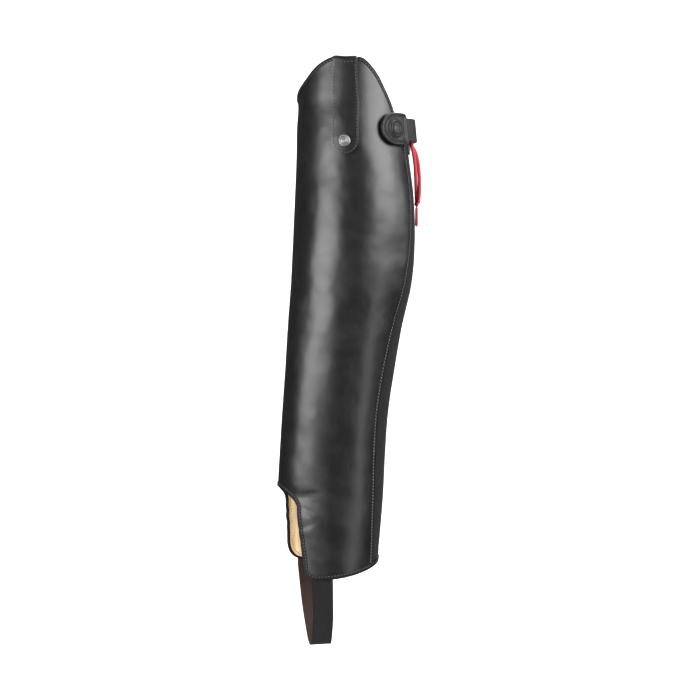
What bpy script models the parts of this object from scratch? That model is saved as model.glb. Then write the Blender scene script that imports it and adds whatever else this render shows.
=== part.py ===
"""Half chap for a left leg, filled out as worn, at real size in metres.

+Z runs up the leg, -X is the shin, +X the calf and -Y the outer side. The origin is the middle of
the calf at its fullest. The leather is a wall round an open hollow: every piece is made from points
on one leg surface, given by an angle round the leg (0 at the zip, 90 outer side, 180 shin) and a height.
"""
import math
from collections import namedtuple

import bmesh
import bpy
from mathutils import Matrix, Vector

# Thicknesses and gaps
GAP = 0.0003
LEATHER = 0.0020
LINING = 0.0010
ELASTIC = 0.0015
TAPE = 0.0010
WALL = LEATHER + GAP + LINING

# The leg, by cross-section: where the calf, the shin and the sides are at each height
Section = namedtuple("Section", "height back front half_width")
LEG_SECTIONS = (
    Section(-0.330, 0.0195, -0.0768, 0.0390),
    Section(-0.250, 0.0265, -0.0722, 0.0395),
    Section(-0.210, 0.0285, -0.0698, 0.0410),
    Section(-0.170, 0.0313, -0.0672, 0.0425),
    Section(-0.130, 0.0372, -0.0642, 0.0450),
    Section(-0.090, 0.0442, -0.0616, 0.0480),
    Section(-0.050, 0.0532, -0.0585, 0.0510),
    Section(-0.010, 0.0560, -0.0564, 0.0525),
    Section(0.030, 0.0545, -0.0545, 0.0520),
    Section(0.060, 0.0505, -0.0532, 0.0510),
    Section(0.090, 0.0467, -0.0526, 0.0495),
    Section(0.107, 0.0445, -0.0514, 0.0488),
    Section(0.120, 0.0428, -0.0520, 0.0485),
    Section(0.160, 0.0390, -0.0520, 0.0480),
)
WIDEST_SHARE = 0.54
METRES_PER_DEGREE = 0.00083
LEG_RADIUS = 0.045
ANGLE_NUDGE = 0.5
HEIGHT_NUDGE = 0.001

# Soft creases where the leather settles over the ankle
Crease = namedtuple("Crease", "angle height depth reach_angle reach_height")
CREASES = (
    Crease(118, -0.243, 0.0011, 30, 0.0080),
    Crease(112, -0.268, -0.0008, 26, 0.0100),
    Crease(104, -0.287, 0.0009, 28, 0.0090),
    Crease(246, -0.252, 0.0010, 30, 0.0090),
    Crease(255, -0.281, 0.0009, 26, 0.0100),
)

# Outlines: the finished top edge, the hem, the arch over the instep and the outer rear seam
EdgePoint = namedtuple("EdgePoint", "angle height")
TOP_EDGE = (
    EdgePoint(-40, 0.1055),
    EdgePoint(-25, 0.1030),
    EdgePoint(0, 0.0975),
    EdgePoint(38, 0.0972),
    EdgePoint(47, 0.0982),
    EdgePoint(54, 0.1012),
    EdgePoint(58, 0.1088),
    EdgePoint(64, 0.1188),
    EdgePoint(76, 0.1348),
    EdgePoint(90, 0.1460),
    EdgePoint(98, 0.1478),
    EdgePoint(110, 0.1476),
    EdgePoint(121, 0.1482),
    EdgePoint(139, 0.1420),
    EdgePoint(160, 0.1295),
    EdgePoint(182, 0.1212),
    EdgePoint(215, 0.1130),
    EdgePoint(260, 0.1080),
    EdgePoint(320, 0.1055),
    EdgePoint(335, 0.1030),
    EdgePoint(360, 0.0975),
)
REAR_TOP = 0.0975
SEAM_LINE = (
    EdgePoint(38.5, -0.330),
    EdgePoint(41.0, -0.305),
    EdgePoint(46.5, -0.253),
    EdgePoint(50.5, -0.195),
    EdgePoint(51.5, -0.135),
    EdgePoint(48.0, -0.095),
    EdgePoint(42.5, -0.048),
    EdgePoint(37.0, 0.000),
    EdgePoint(36.0, 0.040),
    EdgePoint(36.5, 0.070),
    EdgePoint(37.0, 0.098),
    EdgePoint(37.0, 0.120),
)
HEM_BACK = -0.3060
HEM_LEVEL_ANGLE = 112
ARCH_TOP = -0.2360
ARCH_RISE = 0.0170
ARCH_FLARE = 0.10
ArchSide = namedtuple("ArchSide", "half_width corner_radius hem")
OUTER_ARCH = ArchSide(0.0240, 0.0105, -0.3165)
INNER_ARCH = ArchSide(0.0225, 0.0200, -0.3115)
SPLIT_SHARE = 0.225

# Edge binding, a folded strip with a U-shaped section
BINDING = 0.0008
BINDING_REACH = GAP + BINDING
BINDING_LEG = 0.0030
BINDING_INNER_LEG = 0.0010
BINDING_ROUND = 0.0004

# Elastic panel and zip; each lies a little in or out from the leather's outer face
ELASTIC_OUT = -0.0004
TAPE_OUT = -0.0008
CHAIN_OUT = 0.0004
CHAIN_HALF = 0.0030
TAPE_START = CHAIN_HALF + 2 * GAP
TAPE_WIDTH = 0.0070
CHAIN_THICK = 0.0022
CHAIN_TOP = 0.0800
BOX_LENGTH = 0.0100
BOX_THICK = CHAIN_THICK + 0.0010
BOX_OUT = -0.0002
BOX_BEVEL = 0.0006

# Zip slider: a front plate and the blocks joined to it, each by its size and the place of its middle,
# measured out of the leg, round it and up it from the slider's own height
SLIDER_HEIGHT = 0.0745
SLIDER_TOP = CHAIN_TOP - SLIDER_HEIGHT
SLIDER_FRONT = CHAIN_OUT + GAP
SLIDER_BACK = CHAIN_OUT - CHAIN_THICK - GAP
POST_DEPTH = SLIDER_FRONT - SLIDER_BACK + 0.0016
POST_OUT = (SLIDER_FRONT + SLIDER_BACK) / 2
SliderBlock = namedtuple("SliderBlock", "deep wide tall out up")
FRONT_PLATE = SliderBlock(0.0016, 0.0084, 0.0150, SLIDER_FRONT + 0.0008, 0.0)
JOINED_BLOCKS = {
    "slider_back": SliderBlock(0.0012, 0.0076, 0.0120, SLIDER_BACK - 0.0006, 0.0010),
    "slider_post": SliderBlock(POST_DEPTH, 0.0030, 0.0014, POST_OUT, SLIDER_TOP + 0.0010),
    "slider_bridge": SliderBlock(0.0020, 0.0028, 0.0100, SLIDER_FRONT + 0.0022, 0.0010),
    "slider_neck": SliderBlock(0.0040, 0.0028, 0.0026, SLIDER_FRONT + 0.0025, SLIDER_TOP + 0.0016),
    "slider_holder": SliderBlock(0.0028, 0.0078, 0.0026, SLIDER_FRONT + 0.0042, SLIDER_TOP + 0.0016),
}
FRONT_PLATE_BEVEL = 0.0005
JOINED_BEVEL = 0.0004

# Stitched strap over the top edge, and its snap. It leans to the shin, in degrees for each metre
# down, and widens over the upper part of its length.
STRAP_ANGLE = 109.5
STRAP_LEAN = 35
STRAP_END = 0.0620
STRAP_HALF_LOW = 0.0117
STRAP_HALF_TOP = 0.0104
STRAP_WIDENS = 0.5
STRAP = 0.0015
STRAP_END_TURNS = (12, 28, 45, 62, 78, 90)
STRAP_FOLD_FROM = -0.0040
STRAP_INSIDE_ROWS = (0.0, -0.0060, -0.0120)
SNAP_ANGLE = 112.5
SNAP_HEIGHT = 0.0740
SNAP_RADIUS = 0.0054
TurnedPoint = namedtuple("TurnedPoint", "radius_share height")
SNAP_PROFILE = (
    TurnedPoint(0.00, 0.0019),
    TurnedPoint(0.30, 0.0018),
    TurnedPoint(0.40, 0.0012),
    TurnedPoint(0.62, 0.0012),
    TurnedPoint(0.72, 0.0019),
    TurnedPoint(0.88, 0.0018),
    TurnedPoint(1.00, 0.0010),
    TurnedPoint(1.00, 0.0),
    TurnedPoint(0.00, 0.0),
)

# Strap over the zip's top, with a moulded end and a round button
CLOSURE_LOW, CLOSURE_HIGH = 0.0770, 0.0975
CLOSURE = 0.0016
CLOSURE_FROM, CLOSURE_TO = -62, 50
CLOSURE_RISE = 0.0078
CLOSURE_TOP_RISE = 0.0084
CLOSURE_LATERAL_OUT = BINDING_REACH + GAP
BRIDGE_IN, BRIDGE_OUT = 8, 34
TAB_ANGLE = 60
TAB_HEIGHT = 0.0855
TAB_RADIUS = 0.0143
TAB_LENGTH = 0.0155
TAB_CORNER = 0.0030
TAB = 0.0026
TAB_EXTRA = 0.0018
TAB_STEP_FROM, TAB_STEP_TO = 53, 63
TAB_OUT = CLOSURE + 2 * GAP
TAB_TOP = 0.0054
BOSS_RADIUS = 0.0086
BOSS_INNER = 0.5 * BOSS_RADIUS
BOSS_FOOT = BOSS_RADIUS + 0.0005
BOSS_RISE = 0.0004
RimRing = namedtuple("RimRing", "inset out")
TAB_RIM = (
    RimRing(0.0034, TAB),
    RimRing(0.0028, TAB + 0.0005),
    RimRing(0.0014, TAB + 0.0005),
    RimRing(0.0004, TAB - 0.0004),
    RimRing(0.0, TAB - 0.0012),
    RimRing(0.0, 0.0),
    RimRing(0.0030, 0.0),
    RimRing(0.0065, 0.0),
)
STUD_RADIUS = 0.0074
STUD_PROFILE = (
    TurnedPoint(0.00, 0.0016),
    TurnedPoint(0.45, 0.0015),
    TurnedPoint(0.80, 0.0011),
    TurnedPoint(1.00, 0.0005),
    TurnedPoint(1.00, 0.0002),
    TurnedPoint(0.90, 0.0),
    TurnedPoint(0.00, 0.0),
)

# Loop under the boot, half of it from the bottom up: distance from the middle, and height
LoopPoint = namedtuple("LoopPoint", "side height")
FOOT_LOOP = (
    LoopPoint(0.0000, -0.3835),
    LoopPoint(0.0083, -0.3803),
    LoopPoint(0.0170, -0.3690),
    LoopPoint(0.0263, -0.3530),
    LoopPoint(0.0316, -0.3354),
    LoopPoint(0.0347, -0.3260),
    LoopPoint(0.0372, OUTER_ARCH.hem - 2 * GAP),
)
FOOT_STRAP = 0.0018
FOOT_STRAP_WIDTH = 0.0190
FOOT_STRAP_TOP_X = -0.0375
FOOT_STRAP_BOTTOM_X = -0.0328

# Cord pull: the two strands' routes from the slider down to the tip
CORD_RADIUS = 0.0017
CORD_ROUTES = {
    "pull_cord_inner": (
        (0.0535, -0.0021, 0.0795),
        (0.0539, -0.0021, 0.0760),
        (0.0567, -0.0010, 0.0620),
        (0.0579, -0.0002, 0.0485),
        (0.0588, 0.0014, 0.0350),
        (0.0594, 0.0019, 0.0230),
    ),
    "pull_cord_outer": (
        (0.0535, 0.0021, 0.0795),
        (0.0545, 0.0021, 0.0760),
        (0.0577, 0.0018, 0.0715),
        (0.0603, 0.0010, 0.0620),
        (0.0616, 0.0002, 0.0485),
        (0.0614, -0.0014, 0.0350),
        (0.0604, -0.0019, 0.0230),
    ),
}
TIP_X = 0.0590
TipRing = namedtuple("TipRing", "height half_x half_y")
TIP_RINGS = (
    TipRing(0.0225, 0.0020, 0.0036),
    TipRing(0.0212, 0.0018, 0.0030),
    TipRing(0.0200, 0.0010, 0.0010),
    TipRing(0.0190, 0.0010, 0.0010),
    TipRing(0.0183, 0.0014, 0.0014),
    TipRing(0.0025, 0.0014, 0.0014),
    TipRing(0.0015, 0.0010, 0.0010),
)

# How finely the solids are divided
SIDE_COLUMNS = 16
ARCH_ROWS = 10
UPPER_ROWS = 15
CROWD_TO_TOP = 1.5
CROWD_TO_ARCH = 1.4
CORNER_STEPS = 6
HEM_STEPS = 24
EDGE_STEPS = 60
ELASTIC_COLUMNS = 3
CHAIN_ROWS = 16
STRAP_COLUMNS = 4
STRAP_ROWS = 8
CLOSURE_COLUMNS = 34
CLOSURE_ROWS = 2
TAB_SPOKES = 40
BUTTON_STEPS = 24
LOOP_STEPS = 11
LOOP_COLUMNS = 2
CORD_STEPS = 13
TIP_SIDES = 12
SHARP_ANGLE = 40
SHARP_STRAP_ANGLE = 60

MATERIALS = {
    "black_leather": ((0.018, 0.018, 0.019), 0.38, 0.0),
    "tan_lining": ((0.60, 0.40, 0.20), 0.65, 0.0),
    "black_elastic": ((0.022, 0.022, 0.023), 0.85, 0.0),
    "zip_tape": ((0.015, 0.015, 0.016), 0.9, 0.0),
    "zip_metal": ((0.06, 0.06, 0.065), 0.35, 0.9),
    "snap_metal": ((0.62, 0.60, 0.57), 0.25, 1.0),
    "black_rubber": ((0.025, 0.026, 0.026), 0.5, 0.0),
    "red_cord": ((0.55, 0.02, 0.05), 0.6, 0.0),
}


def smooth_step(share):
    share = min(max(share, 0.0), 1.0)
    return share * share * (3 - 2 * share)


def curve_value(places, values, at):
    """A smooth curve through a short table of values, read at one place."""
    last = len(places) - 1
    i = 0
    while i < last - 1 and at > places[i + 1]:
        i += 1

    def slope(k):
        low, high = max(k - 1, 0), min(k + 1, last)
        return (values[high] - values[low]) / (places[high] - places[low])

    span = places[i + 1] - places[i]
    t = (at - places[i]) / span
    return (
        (2 * t**3 - 3 * t**2 + 1) * values[i]
        + (t**3 - 2 * t**2 + t) * span * slope(i)
        + (3 * t**2 - 2 * t**3) * values[i + 1]
        + (t**3 - t**2) * span * slope(i + 1)
    )


SECTION_HEIGHTS = [section.height for section in LEG_SECTIONS]


def section_size(field, height):
    return curve_value(SECTION_HEIGHTS, [getattr(s, field) for s in LEG_SECTIONS], height)


def crease_depth(angle, height):
    total = 0.0
    for crease in CREASES:
        across = ((angle - crease.angle + 180) % 360 - 180) / crease.reach_angle
        along = (height - crease.height) / crease.reach_height
        total += crease.depth * math.exp(-across * across - along * along)
    return total


def smooth_point(angle, height):
    """A point of the leather's outer face, before any offset."""
    back = section_size("back", height)
    front = section_size("front", height)
    widest = front + WIDEST_SHARE * (back - front)
    cosine = math.cos(math.radians(angle))
    sine = math.sin(math.radians(angle))
    reach = back - widest if cosine > 0 else widest - front
    bulge = 1 - crease_depth(angle, height) / LEG_RADIUS
    return Vector((
        widest + reach * cosine * bulge,
        -section_size("half_width", height) * sine * bulge,
        height,
    ))


def step_round(angle, height):
    """A short step round the leg, one degree long."""
    return smooth_point(angle + ANGLE_NUDGE, height) - smooth_point(angle - ANGLE_NUDGE, height)


def step_up(angle, height):
    return smooth_point(angle, height + HEIGHT_NUDGE) - smooth_point(angle, height - HEIGHT_NUDGE)


def leg_normal(angle, height):
    return step_up(angle, height).cross(step_round(angle, height)).normalized()


def leg_point(angle, height, out=0.0):
    """A point that stands a distance out from the leather's outer face."""
    return smooth_point(angle, height) + out * leg_normal(angle, height)


def degrees_per_metre(angle, height):
    return 2 * ANGLE_NUDGE / step_round(angle, height).length


def rear_angle(side, height):
    """The angle of a line that runs up the calf a distance to one side of the zip's middle."""
    return math.degrees(math.asin(side / section_size("half_width", height)))


def top_height(angle):
    """The leather's own top edge, inside the binding."""
    angle = (angle + 40) % 360 - 40
    return curve_value(
        [p.angle for p in TOP_EDGE], [p.height for p in TOP_EDGE], angle
    ) - BINDING_REACH


def hem_height(angle):
    from_back = abs((angle + 180) % 360 - 180)
    arch = OUTER_ARCH if angle % 360 <= 180 else INNER_ARCH
    share = smooth_step(from_back / HEM_LEVEL_ANGLE)
    return HEM_BACK + (arch.hem - HEM_BACK) * share + BINDING_REACH


def seam_angle(height):
    return curve_value([p.height for p in SEAM_LINE], [p.angle for p in SEAM_LINE], height)


def arch_angle(height, arch):
    """The leather's edge beside the instep, measured as on the outer side."""
    drop = ARCH_TOP + BINDING_REACH - height
    round_part = 1 - min(max(drop, 0.0) / ARCH_RISE, 1.0)
    half = ARCH_FLARE * drop + arch.half_width * math.sqrt(1 - round_part**2)
    if drop > 0:
        half += BINDING_REACH
    return 180 - math.degrees(math.asin(min(half / section_size("half_width", height), 1.0)))


def spread(points, count, crowding=1.0):
    """Count + 1 points along a line of (angle, height) points, closer together toward its end."""
    lengths = [0.0]
    for a, b in zip(points, points[1:]):
        lengths.append(lengths[-1] + math.hypot((b[0] - a[0]) * METRES_PER_DEGREE, b[1] - a[1]))
    spaced, i = [], 0
    for k in range(count + 1):
        target = lengths[-1] * (1 - (1 - k / count) ** crowding)
        while i < len(lengths) - 2 and lengths[i + 1] < target:
            i += 1
        share = (target - lengths[i]) / (lengths[i + 1] - lengths[i])
        spaced.append(tuple(a + share * (b - a) for a, b in zip(points[i], points[i + 1])))
    return spaced


def front_corner(arch):
    """The middle of the rounded corner between the hem and the arch, and its radius in degrees."""
    height = arch.hem + BINDING_REACH + arch.corner_radius
    radius = arch.corner_radius / METRES_PER_DEGREE
    return arch_angle(height, arch) - radius, height, radius


def corner_arc(arch, start, end):
    angle, height, radius = front_corner(arch)
    arc = []
    for k in range(CORNER_STEPS + 1):
        turn = math.radians(start + (end - start) * k / CORNER_STEPS)
        arc.append((angle + radius * math.cos(turn), height + arch.corner_radius * math.sin(turn)))
    return arc


def hem_line(arch, rear):
    """From the rear edge along the hem to the middle of the front corner."""
    stop = front_corner(arch)[0]
    flat = [rear + (stop - rear) * k / HEM_STEPS for k in range(HEM_STEPS)]
    turn = 1 if arch is OUTER_ARCH else -1
    return [(angle, hem_height(turn * angle)) for angle in flat] + corner_arc(arch, -90, -45)


def arch_line(arch):
    """From the middle of the front corner up to the arch's top."""
    low = front_corner(arch)[1]
    top = ARCH_TOP + BINDING_REACH
    rise = []
    for k in range(1, EDGE_STEPS):
        height = low + (top - low) * (1 - (1 - k / EDGE_STEPS) ** 2)
        rise.append((arch_angle(height, arch), height))
    return corner_arc(arch, -45, 0) + rise + [(180.0, top)]


def upper_shares():
    """Rows above the arch, closer together toward the top edge, where the leather flares."""
    return [1 - (1 - j / UPPER_ROWS) ** CROWD_TO_TOP for j in range(UPPER_ROWS + 1)]


def row_shares():
    lower = [SPLIT_SHARE * j / ARCH_ROWS for j in range(ARCH_ROWS)]
    return lower + [SPLIT_SHARE + (1 - SPLIT_SHARE) * share for share in upper_shares()]


def rear_line(angle_at, low_trim=0.0, top_trim=0.0):
    """A rear edge as (angle, height) points, one for each row, where angle_at gives its angle."""
    low = hem_height(angle_at(HEM_BACK)) + low_trim
    high = top_height(angle_at(REAR_TOP)) - top_trim
    heights = [low + (high - low) * share for share in row_shares()]
    return [(angle_at(height), height) for height in heights]


def half_panel(arch, rear, mirrored):
    """Rows of (angle, height) points of one half of the leather, from its rear edge to the shin."""
    def turned(angle):
        return 360 - angle if mirrored else angle

    if mirrored:
        rear = [(-angle, height) for angle, height in rear]
    front = spread(arch_line(arch), ARCH_ROWS, CROWD_TO_ARCH)
    shin_low, shin_high = front[-1][1], top_height(180)
    front += [(180.0, shin_low + (shin_high - shin_low) * share) for share in upper_shares()[1:]]
    bottom = spread(hem_line(arch, rear[0][0]), SIDE_COLUMNS)
    top_line = [rear[-1][0] + (180 - rear[-1][0]) * k / EDGE_STEPS for k in range(EDGE_STEPS + 1)]
    top = spread([(angle, top_height(turned(angle))) for angle in top_line], SIDE_COLUMNS)
    rows = []
    for j, (start, end) in enumerate(zip(rear, front)):
        toward_hem = max(0.0, 1 - j / ARCH_ROWS) ** 2
        toward_top = upper_shares()[max(j - ARCH_ROWS, 0)]
        row = []
        for i in range(SIDE_COLUMNS + 1):
            share = i / SIDE_COLUMNS
            point = []
            for k in range(2):
                value = start[k] + share * (end[k] - start[k])
                low_chord = bottom[0][k] + share * (bottom[-1][k] - bottom[0][k])
                top_chord = top[0][k] + share * (top[-1][k] - top[0][k])
                value += toward_hem * (bottom[i][k] - low_chord)
                value += toward_top * (top[i][k] - top_chord)
                point.append(value)
            row.append((turned(point[0]), point[1]))
        rows.append(row)
    return rows


def beside_tape(height):
    return rear_angle(TAPE_START + TAPE_WIDTH + 2 * GAP, height)


def inner_rear(height):
    return -beside_tape(height)


def panel_halves():
    outer = half_panel(OUTER_ARCH, rear_line(seam_angle), False)
    inner = half_panel(INNER_ARCH, rear_line(inner_rear), True)
    return outer, inner


def new_object(name, mesh, material):
    obj = bpy.data.objects.new(name, mesh)
    mesh.materials.append(bpy.data.materials[material])
    PARTS.objects.link(obj)
    return obj


def mesh_from(points, faces, name):
    mesh = bpy.data.meshes.new(name)
    mesh.from_pydata([tuple(p) for p in points], [], faces)
    mesh.update()
    return mesh


def shade_round(obj, sharp_angle=SHARP_ANGLE):
    obj.data.shade_smooth()
    obj.data.set_sharp_from_angle(angle=math.radians(sharp_angle))


def thicken(obj, thickness, offset):
    """Gives an open surface its thickness: offset -1 goes inwards, 1 outwards and 0 both ways."""
    solid = obj.modifiers.new("Thickness", "SOLIDIFY")
    solid.thickness = thickness
    solid.offset = offset


def leather_sheet(name, halves, inward, thickness, material):
    """The leather's shape, moved inward by its own normals: two halves that share the shin line."""
    points, faces, index = [], [], {}
    for side, rows in enumerate(halves):
        for j, row in enumerate(rows):
            for i, (angle, height) in enumerate(row):
                shared = side == 1 and i == SIDE_COLUMNS and j >= ARCH_ROWS
                if shared:
                    index[side, i, j] = index[0, i, j]
                    continue
                index[side, i, j] = len(points)
                points.append(leg_point(angle, height))
        for j in range(len(rows) - 1):
            for i in range(SIDE_COLUMNS):
                low, high = index[side, i + 1, j], index[side, i, j + 1]
                near, far = index[side, i, j], index[side, i + 1, j + 1]
                faces.append([low, far, high, near] if side == 1 else [low, near, high, far])
    mesh = mesh_from(points, faces, name)
    normals = [vertex.normal.copy() for vertex in mesh.vertices]
    for vertex, normal in zip(mesh.vertices, normals):
        vertex.co -= inward * normal
    obj = new_object(name, mesh, material)
    shade_round(obj)
    thicken(obj, thickness, -1)
    edge = {key: (points[at], normals[at]) for key, at in index.items()}
    return edge


def strip_between(name, first, second, columns, out, thickness, material):
    """A wall strip between two edges that have one (angle, height) point for each row."""
    points, faces = [], []
    for (a0, z0), (a1, z1) in zip(first, second):
        for i in range(columns + 1):
            share = i / columns
            points.append(leg_point(a0 + share * (a1 - a0), z0 + share * (z1 - z0), out))
    wide = columns + 1
    for j in range(len(first) - 1):
        for i in range(columns):
            a = j * wide + i
            faces.append([a, a + wide, a + wide + 1, a + 1])
    obj = new_object(name, mesh_from(points, faces, name), material)
    shade_round(obj)
    thicken(obj, thickness, -1)
    return obj


def make_stretch_panel():
    """Elastic between the zip's outer tape and the leather's rear seam."""
    def seam_side(height):
        angle = seam_angle(height)
        return angle - 2 * GAP * degrees_per_metre(angle, height)

    strip_between("stretch_panel", rear_line(beside_tape), rear_line(seam_side), ELASTIC_COLUMNS,
                  ELASTIC_OUT, ELASTIC, "black_elastic")


def make_zip():
    """Two tapes, the closed chain between them, the box at its foot and the slider at its top."""
    for name, turn in (("zip_tape_outer", 1), ("zip_tape_inner", -1)):
        def chain_side(height, turn=turn):
            return turn * rear_angle(TAPE_START, height)

        def panel_side(height, turn=turn):
            return turn * rear_angle(TAPE_START + TAPE_WIDTH, height)

        edges = [rear_line(chain_side), rear_line(panel_side)]
        first, second = edges if turn > 0 else edges[::-1]
        strip_between(name, first, second, 1, TAPE_OUT, TAPE, "zip_tape")

    low = hem_height(0) + BOX_LENGTH + GAP
    heights = [low + (CHAIN_TOP - low) * j / CHAIN_ROWS for j in range(CHAIN_ROWS + 1)]
    left = [(-rear_angle(CHAIN_HALF, height), height) for height in heights]
    right = [(rear_angle(CHAIN_HALF, height), height) for height in heights]
    strip_between("zip_chain", left, right, 1, CHAIN_OUT, CHAIN_THICK, "zip_metal")

    box_mesh = block_mesh((BOX_THICK, 2 * CHAIN_HALF, BOX_LENGTH), BOX_BEVEL)
    box = new_object("zip_box", box_mesh, "zip_metal")
    box.matrix_world = leg_frame(0, hem_height(0) + BOX_LENGTH / 2, BOX_OUT - CHAIN_THICK / 2)
    make_slider()


def leg_frame(angle, height, out):
    """A placement on the leg: its X axis points out of the leather, and its Z axis up the leg."""
    normal = leg_normal(angle, height)
    up = step_up(angle, height).normalized()
    side = up.cross(normal)
    turn = Matrix((normal, side, up)).transposed().to_4x4()
    return Matrix.Translation(leg_point(angle, height, out)) @ turn


def block_mesh(size, bevel, middle=(0, 0, 0)):
    shape = bmesh.new()
    bmesh.ops.create_cube(shape, size=1.0)
    bmesh.ops.scale(shape, vec=size, verts=shape.verts)
    bmesh.ops.bevel(shape, geom=shape.edges, offset=bevel, segments=1, affect="EDGES")
    bmesh.ops.translate(shape, vec=middle, verts=shape.verts)
    mesh = bpy.data.meshes.new("block")
    shape.to_mesh(mesh)
    shape.free()
    return mesh


def slider_mesh(piece, bevel):
    return block_mesh((piece.deep, piece.wide, piece.tall), bevel, (piece.out, 0, piece.up))


def make_slider():
    """Front and back plates joined by a post above the chain's end, and a holder for the cord."""
    slider = new_object("zip_slider", slider_mesh(FRONT_PLATE, FRONT_PLATE_BEVEL), "zip_metal")
    frame = leg_frame(0, SLIDER_HEIGHT, 0)
    slider.matrix_world = frame
    for name, piece in JOINED_BLOCKS.items():
        joined = bpy.data.objects.new(name, slider_mesh(piece, JOINED_BEVEL))
        GUIDES.objects.link(joined)
        joined.matrix_world = frame
        joined.hide_render = True
        joined.display_type = "WIRE"
        union = slider.modifiers.new(name, "BOOLEAN")
        union.operation = "UNION"
        union.object = joined


def face_outward(obj):
    shape = bmesh.new()
    shape.from_mesh(obj.data)
    bmesh.ops.recalc_face_normals(shape, faces=shape.faces)
    shape.to_mesh(obj.data)
    shape.free()


def loft(name, rings, material):
    """A solid through rings of the same number of points, with flat ends."""
    points = [p for ring in rings for p in ring]
    count = len(rings[0])
    faces = []
    for j in range(len(rings) - 1):
        for i in range(count):
            a, b = j * count + i, j * count + (i + 1) % count
            faces.append([a, b, b + count, a + count])
    faces.append(list(range(count))[::-1])
    faces.append([(len(rings) - 1) * count + i for i in range(count)])
    obj = new_object(name, mesh_from(points, faces, name), material)
    face_outward(obj)
    shade_round(obj)


def binding_ring(here, along, normal):
    """The U-shaped section of the binding at one point of the edge that it covers."""
    away = along.cross(normal).normalized()
    reach, rounded = BINDING_REACH, BINDING_REACH - BINDING_ROUND
    inner = -WALL - GAP
    inside = inner - BINDING
    profile = (
        (-BINDING_LEG, GAP), (-BINDING_LEG, reach), (rounded, reach), (reach, rounded),
        (reach, inside + BINDING_ROUND), (rounded, inside), (-BINDING_INNER_LEG, inside),
        (-BINDING_INNER_LEG, inner), (GAP, inner), (GAP, GAP),
    )
    return [here + away * across + normal * out for across, out in profile]


def make_binding(name, line, upright=None):
    """A binding along an edge of (point, normal) pairs; the pair at upright gets a plumb section."""
    rings = []
    for k, (here, normal) in enumerate(line):
        before, after = line[max(k - 1, 0)][0], line[min(k + 1, len(line) - 1)][0]
        along = normal.cross(Vector((0, 0, 1))) if k == upright else after - before
        rings.append(binding_ring(here, along, normal))
    loft(name, rings, "black_leather")


def beside_zip(turn, first, last, count, edge_height):
    """Points of a bound edge between the zip's chain and the leather, which it joins."""
    angles = [turn * (first + (last - first) * k / count) for k in range(count)]
    return [
        (leg_point(angle, edge_height(angle)), leg_normal(angle, edge_height(angle))) for angle in angles
    ]


def cut(line, angles, at):
    """The (point, normal) pair at an angle between two pairs of a line."""
    after = next(k for k, angle in enumerate(angles) if angle > at)
    share = (at - angles[after - 1]) / (angles[after] - angles[after - 1])
    (p0, n0), (p1, n1) = line[after - 1], line[after]
    return p0.lerp(p1, share), n0.lerp(n1, share).normalized()


def make_bindings(edge, halves):
    """The bindings follow the leather's own edge, kept as (point, normal) by side, column and row."""
    columns, top_row = range(SIDE_COLUMNS + 1), ARCH_ROWS + UPPER_ROWS
    outer_end, inner_end = halves[0][0][0][0], 360 - halves[1][0][0][0]
    start = rear_angle(TAPE_START, HEM_BACK)
    hem = beside_zip(1, start, outer_end, 4, hem_height)
    hem += [edge[0, i, 0] for i in columns]
    hem += [edge[0, SIDE_COLUMNS, j] for j in range(1, ARCH_ROWS + 1)]
    hem += [edge[1, SIDE_COLUMNS, j] for j in range(ARCH_ROWS - 1, 0, -1)]
    hem += [edge[1, i, 0] for i in reversed(columns)]
    hem += beside_zip(-1, start, inner_end, 1, hem_height)
    make_binding("hem_binding", hem[::-1])

    outer_end, inner_end = halves[0][-1][0][0], 360 - halves[1][-1][0][0]
    start = rear_angle(TAPE_START, CLOSURE_HIGH)
    angles = [point[0] for point in halves[0][-1]]
    side = [edge[0, i, top_row] for i in columns]
    strap_half = (STRAP_HALF_TOP + 2 * GAP) * degrees_per_metre(STRAP_ANGLE, top_height(STRAP_ANGLE))
    back_stop, front_start = (cut(side, angles, STRAP_ANGLE + turn * strap_half) for turn in (-1, 1))
    back = beside_zip(1, start, outer_end, 2, top_height)
    back += [pair for pair, angle in zip(side, angles) if angle < STRAP_ANGLE - strap_half] + [back_stop]
    front = [front_start] + [pair for pair, angle in zip(side, angles) if angle > STRAP_ANGLE + strap_half]
    front += [edge[1, i, top_row] for i in reversed(columns[:-1])]
    front += beside_zip(-1, start, inner_end, 1, top_height)
    make_binding("top_binding_back", back, len(back) - 1)
    make_binding("top_binding_front", front, 0)


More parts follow.
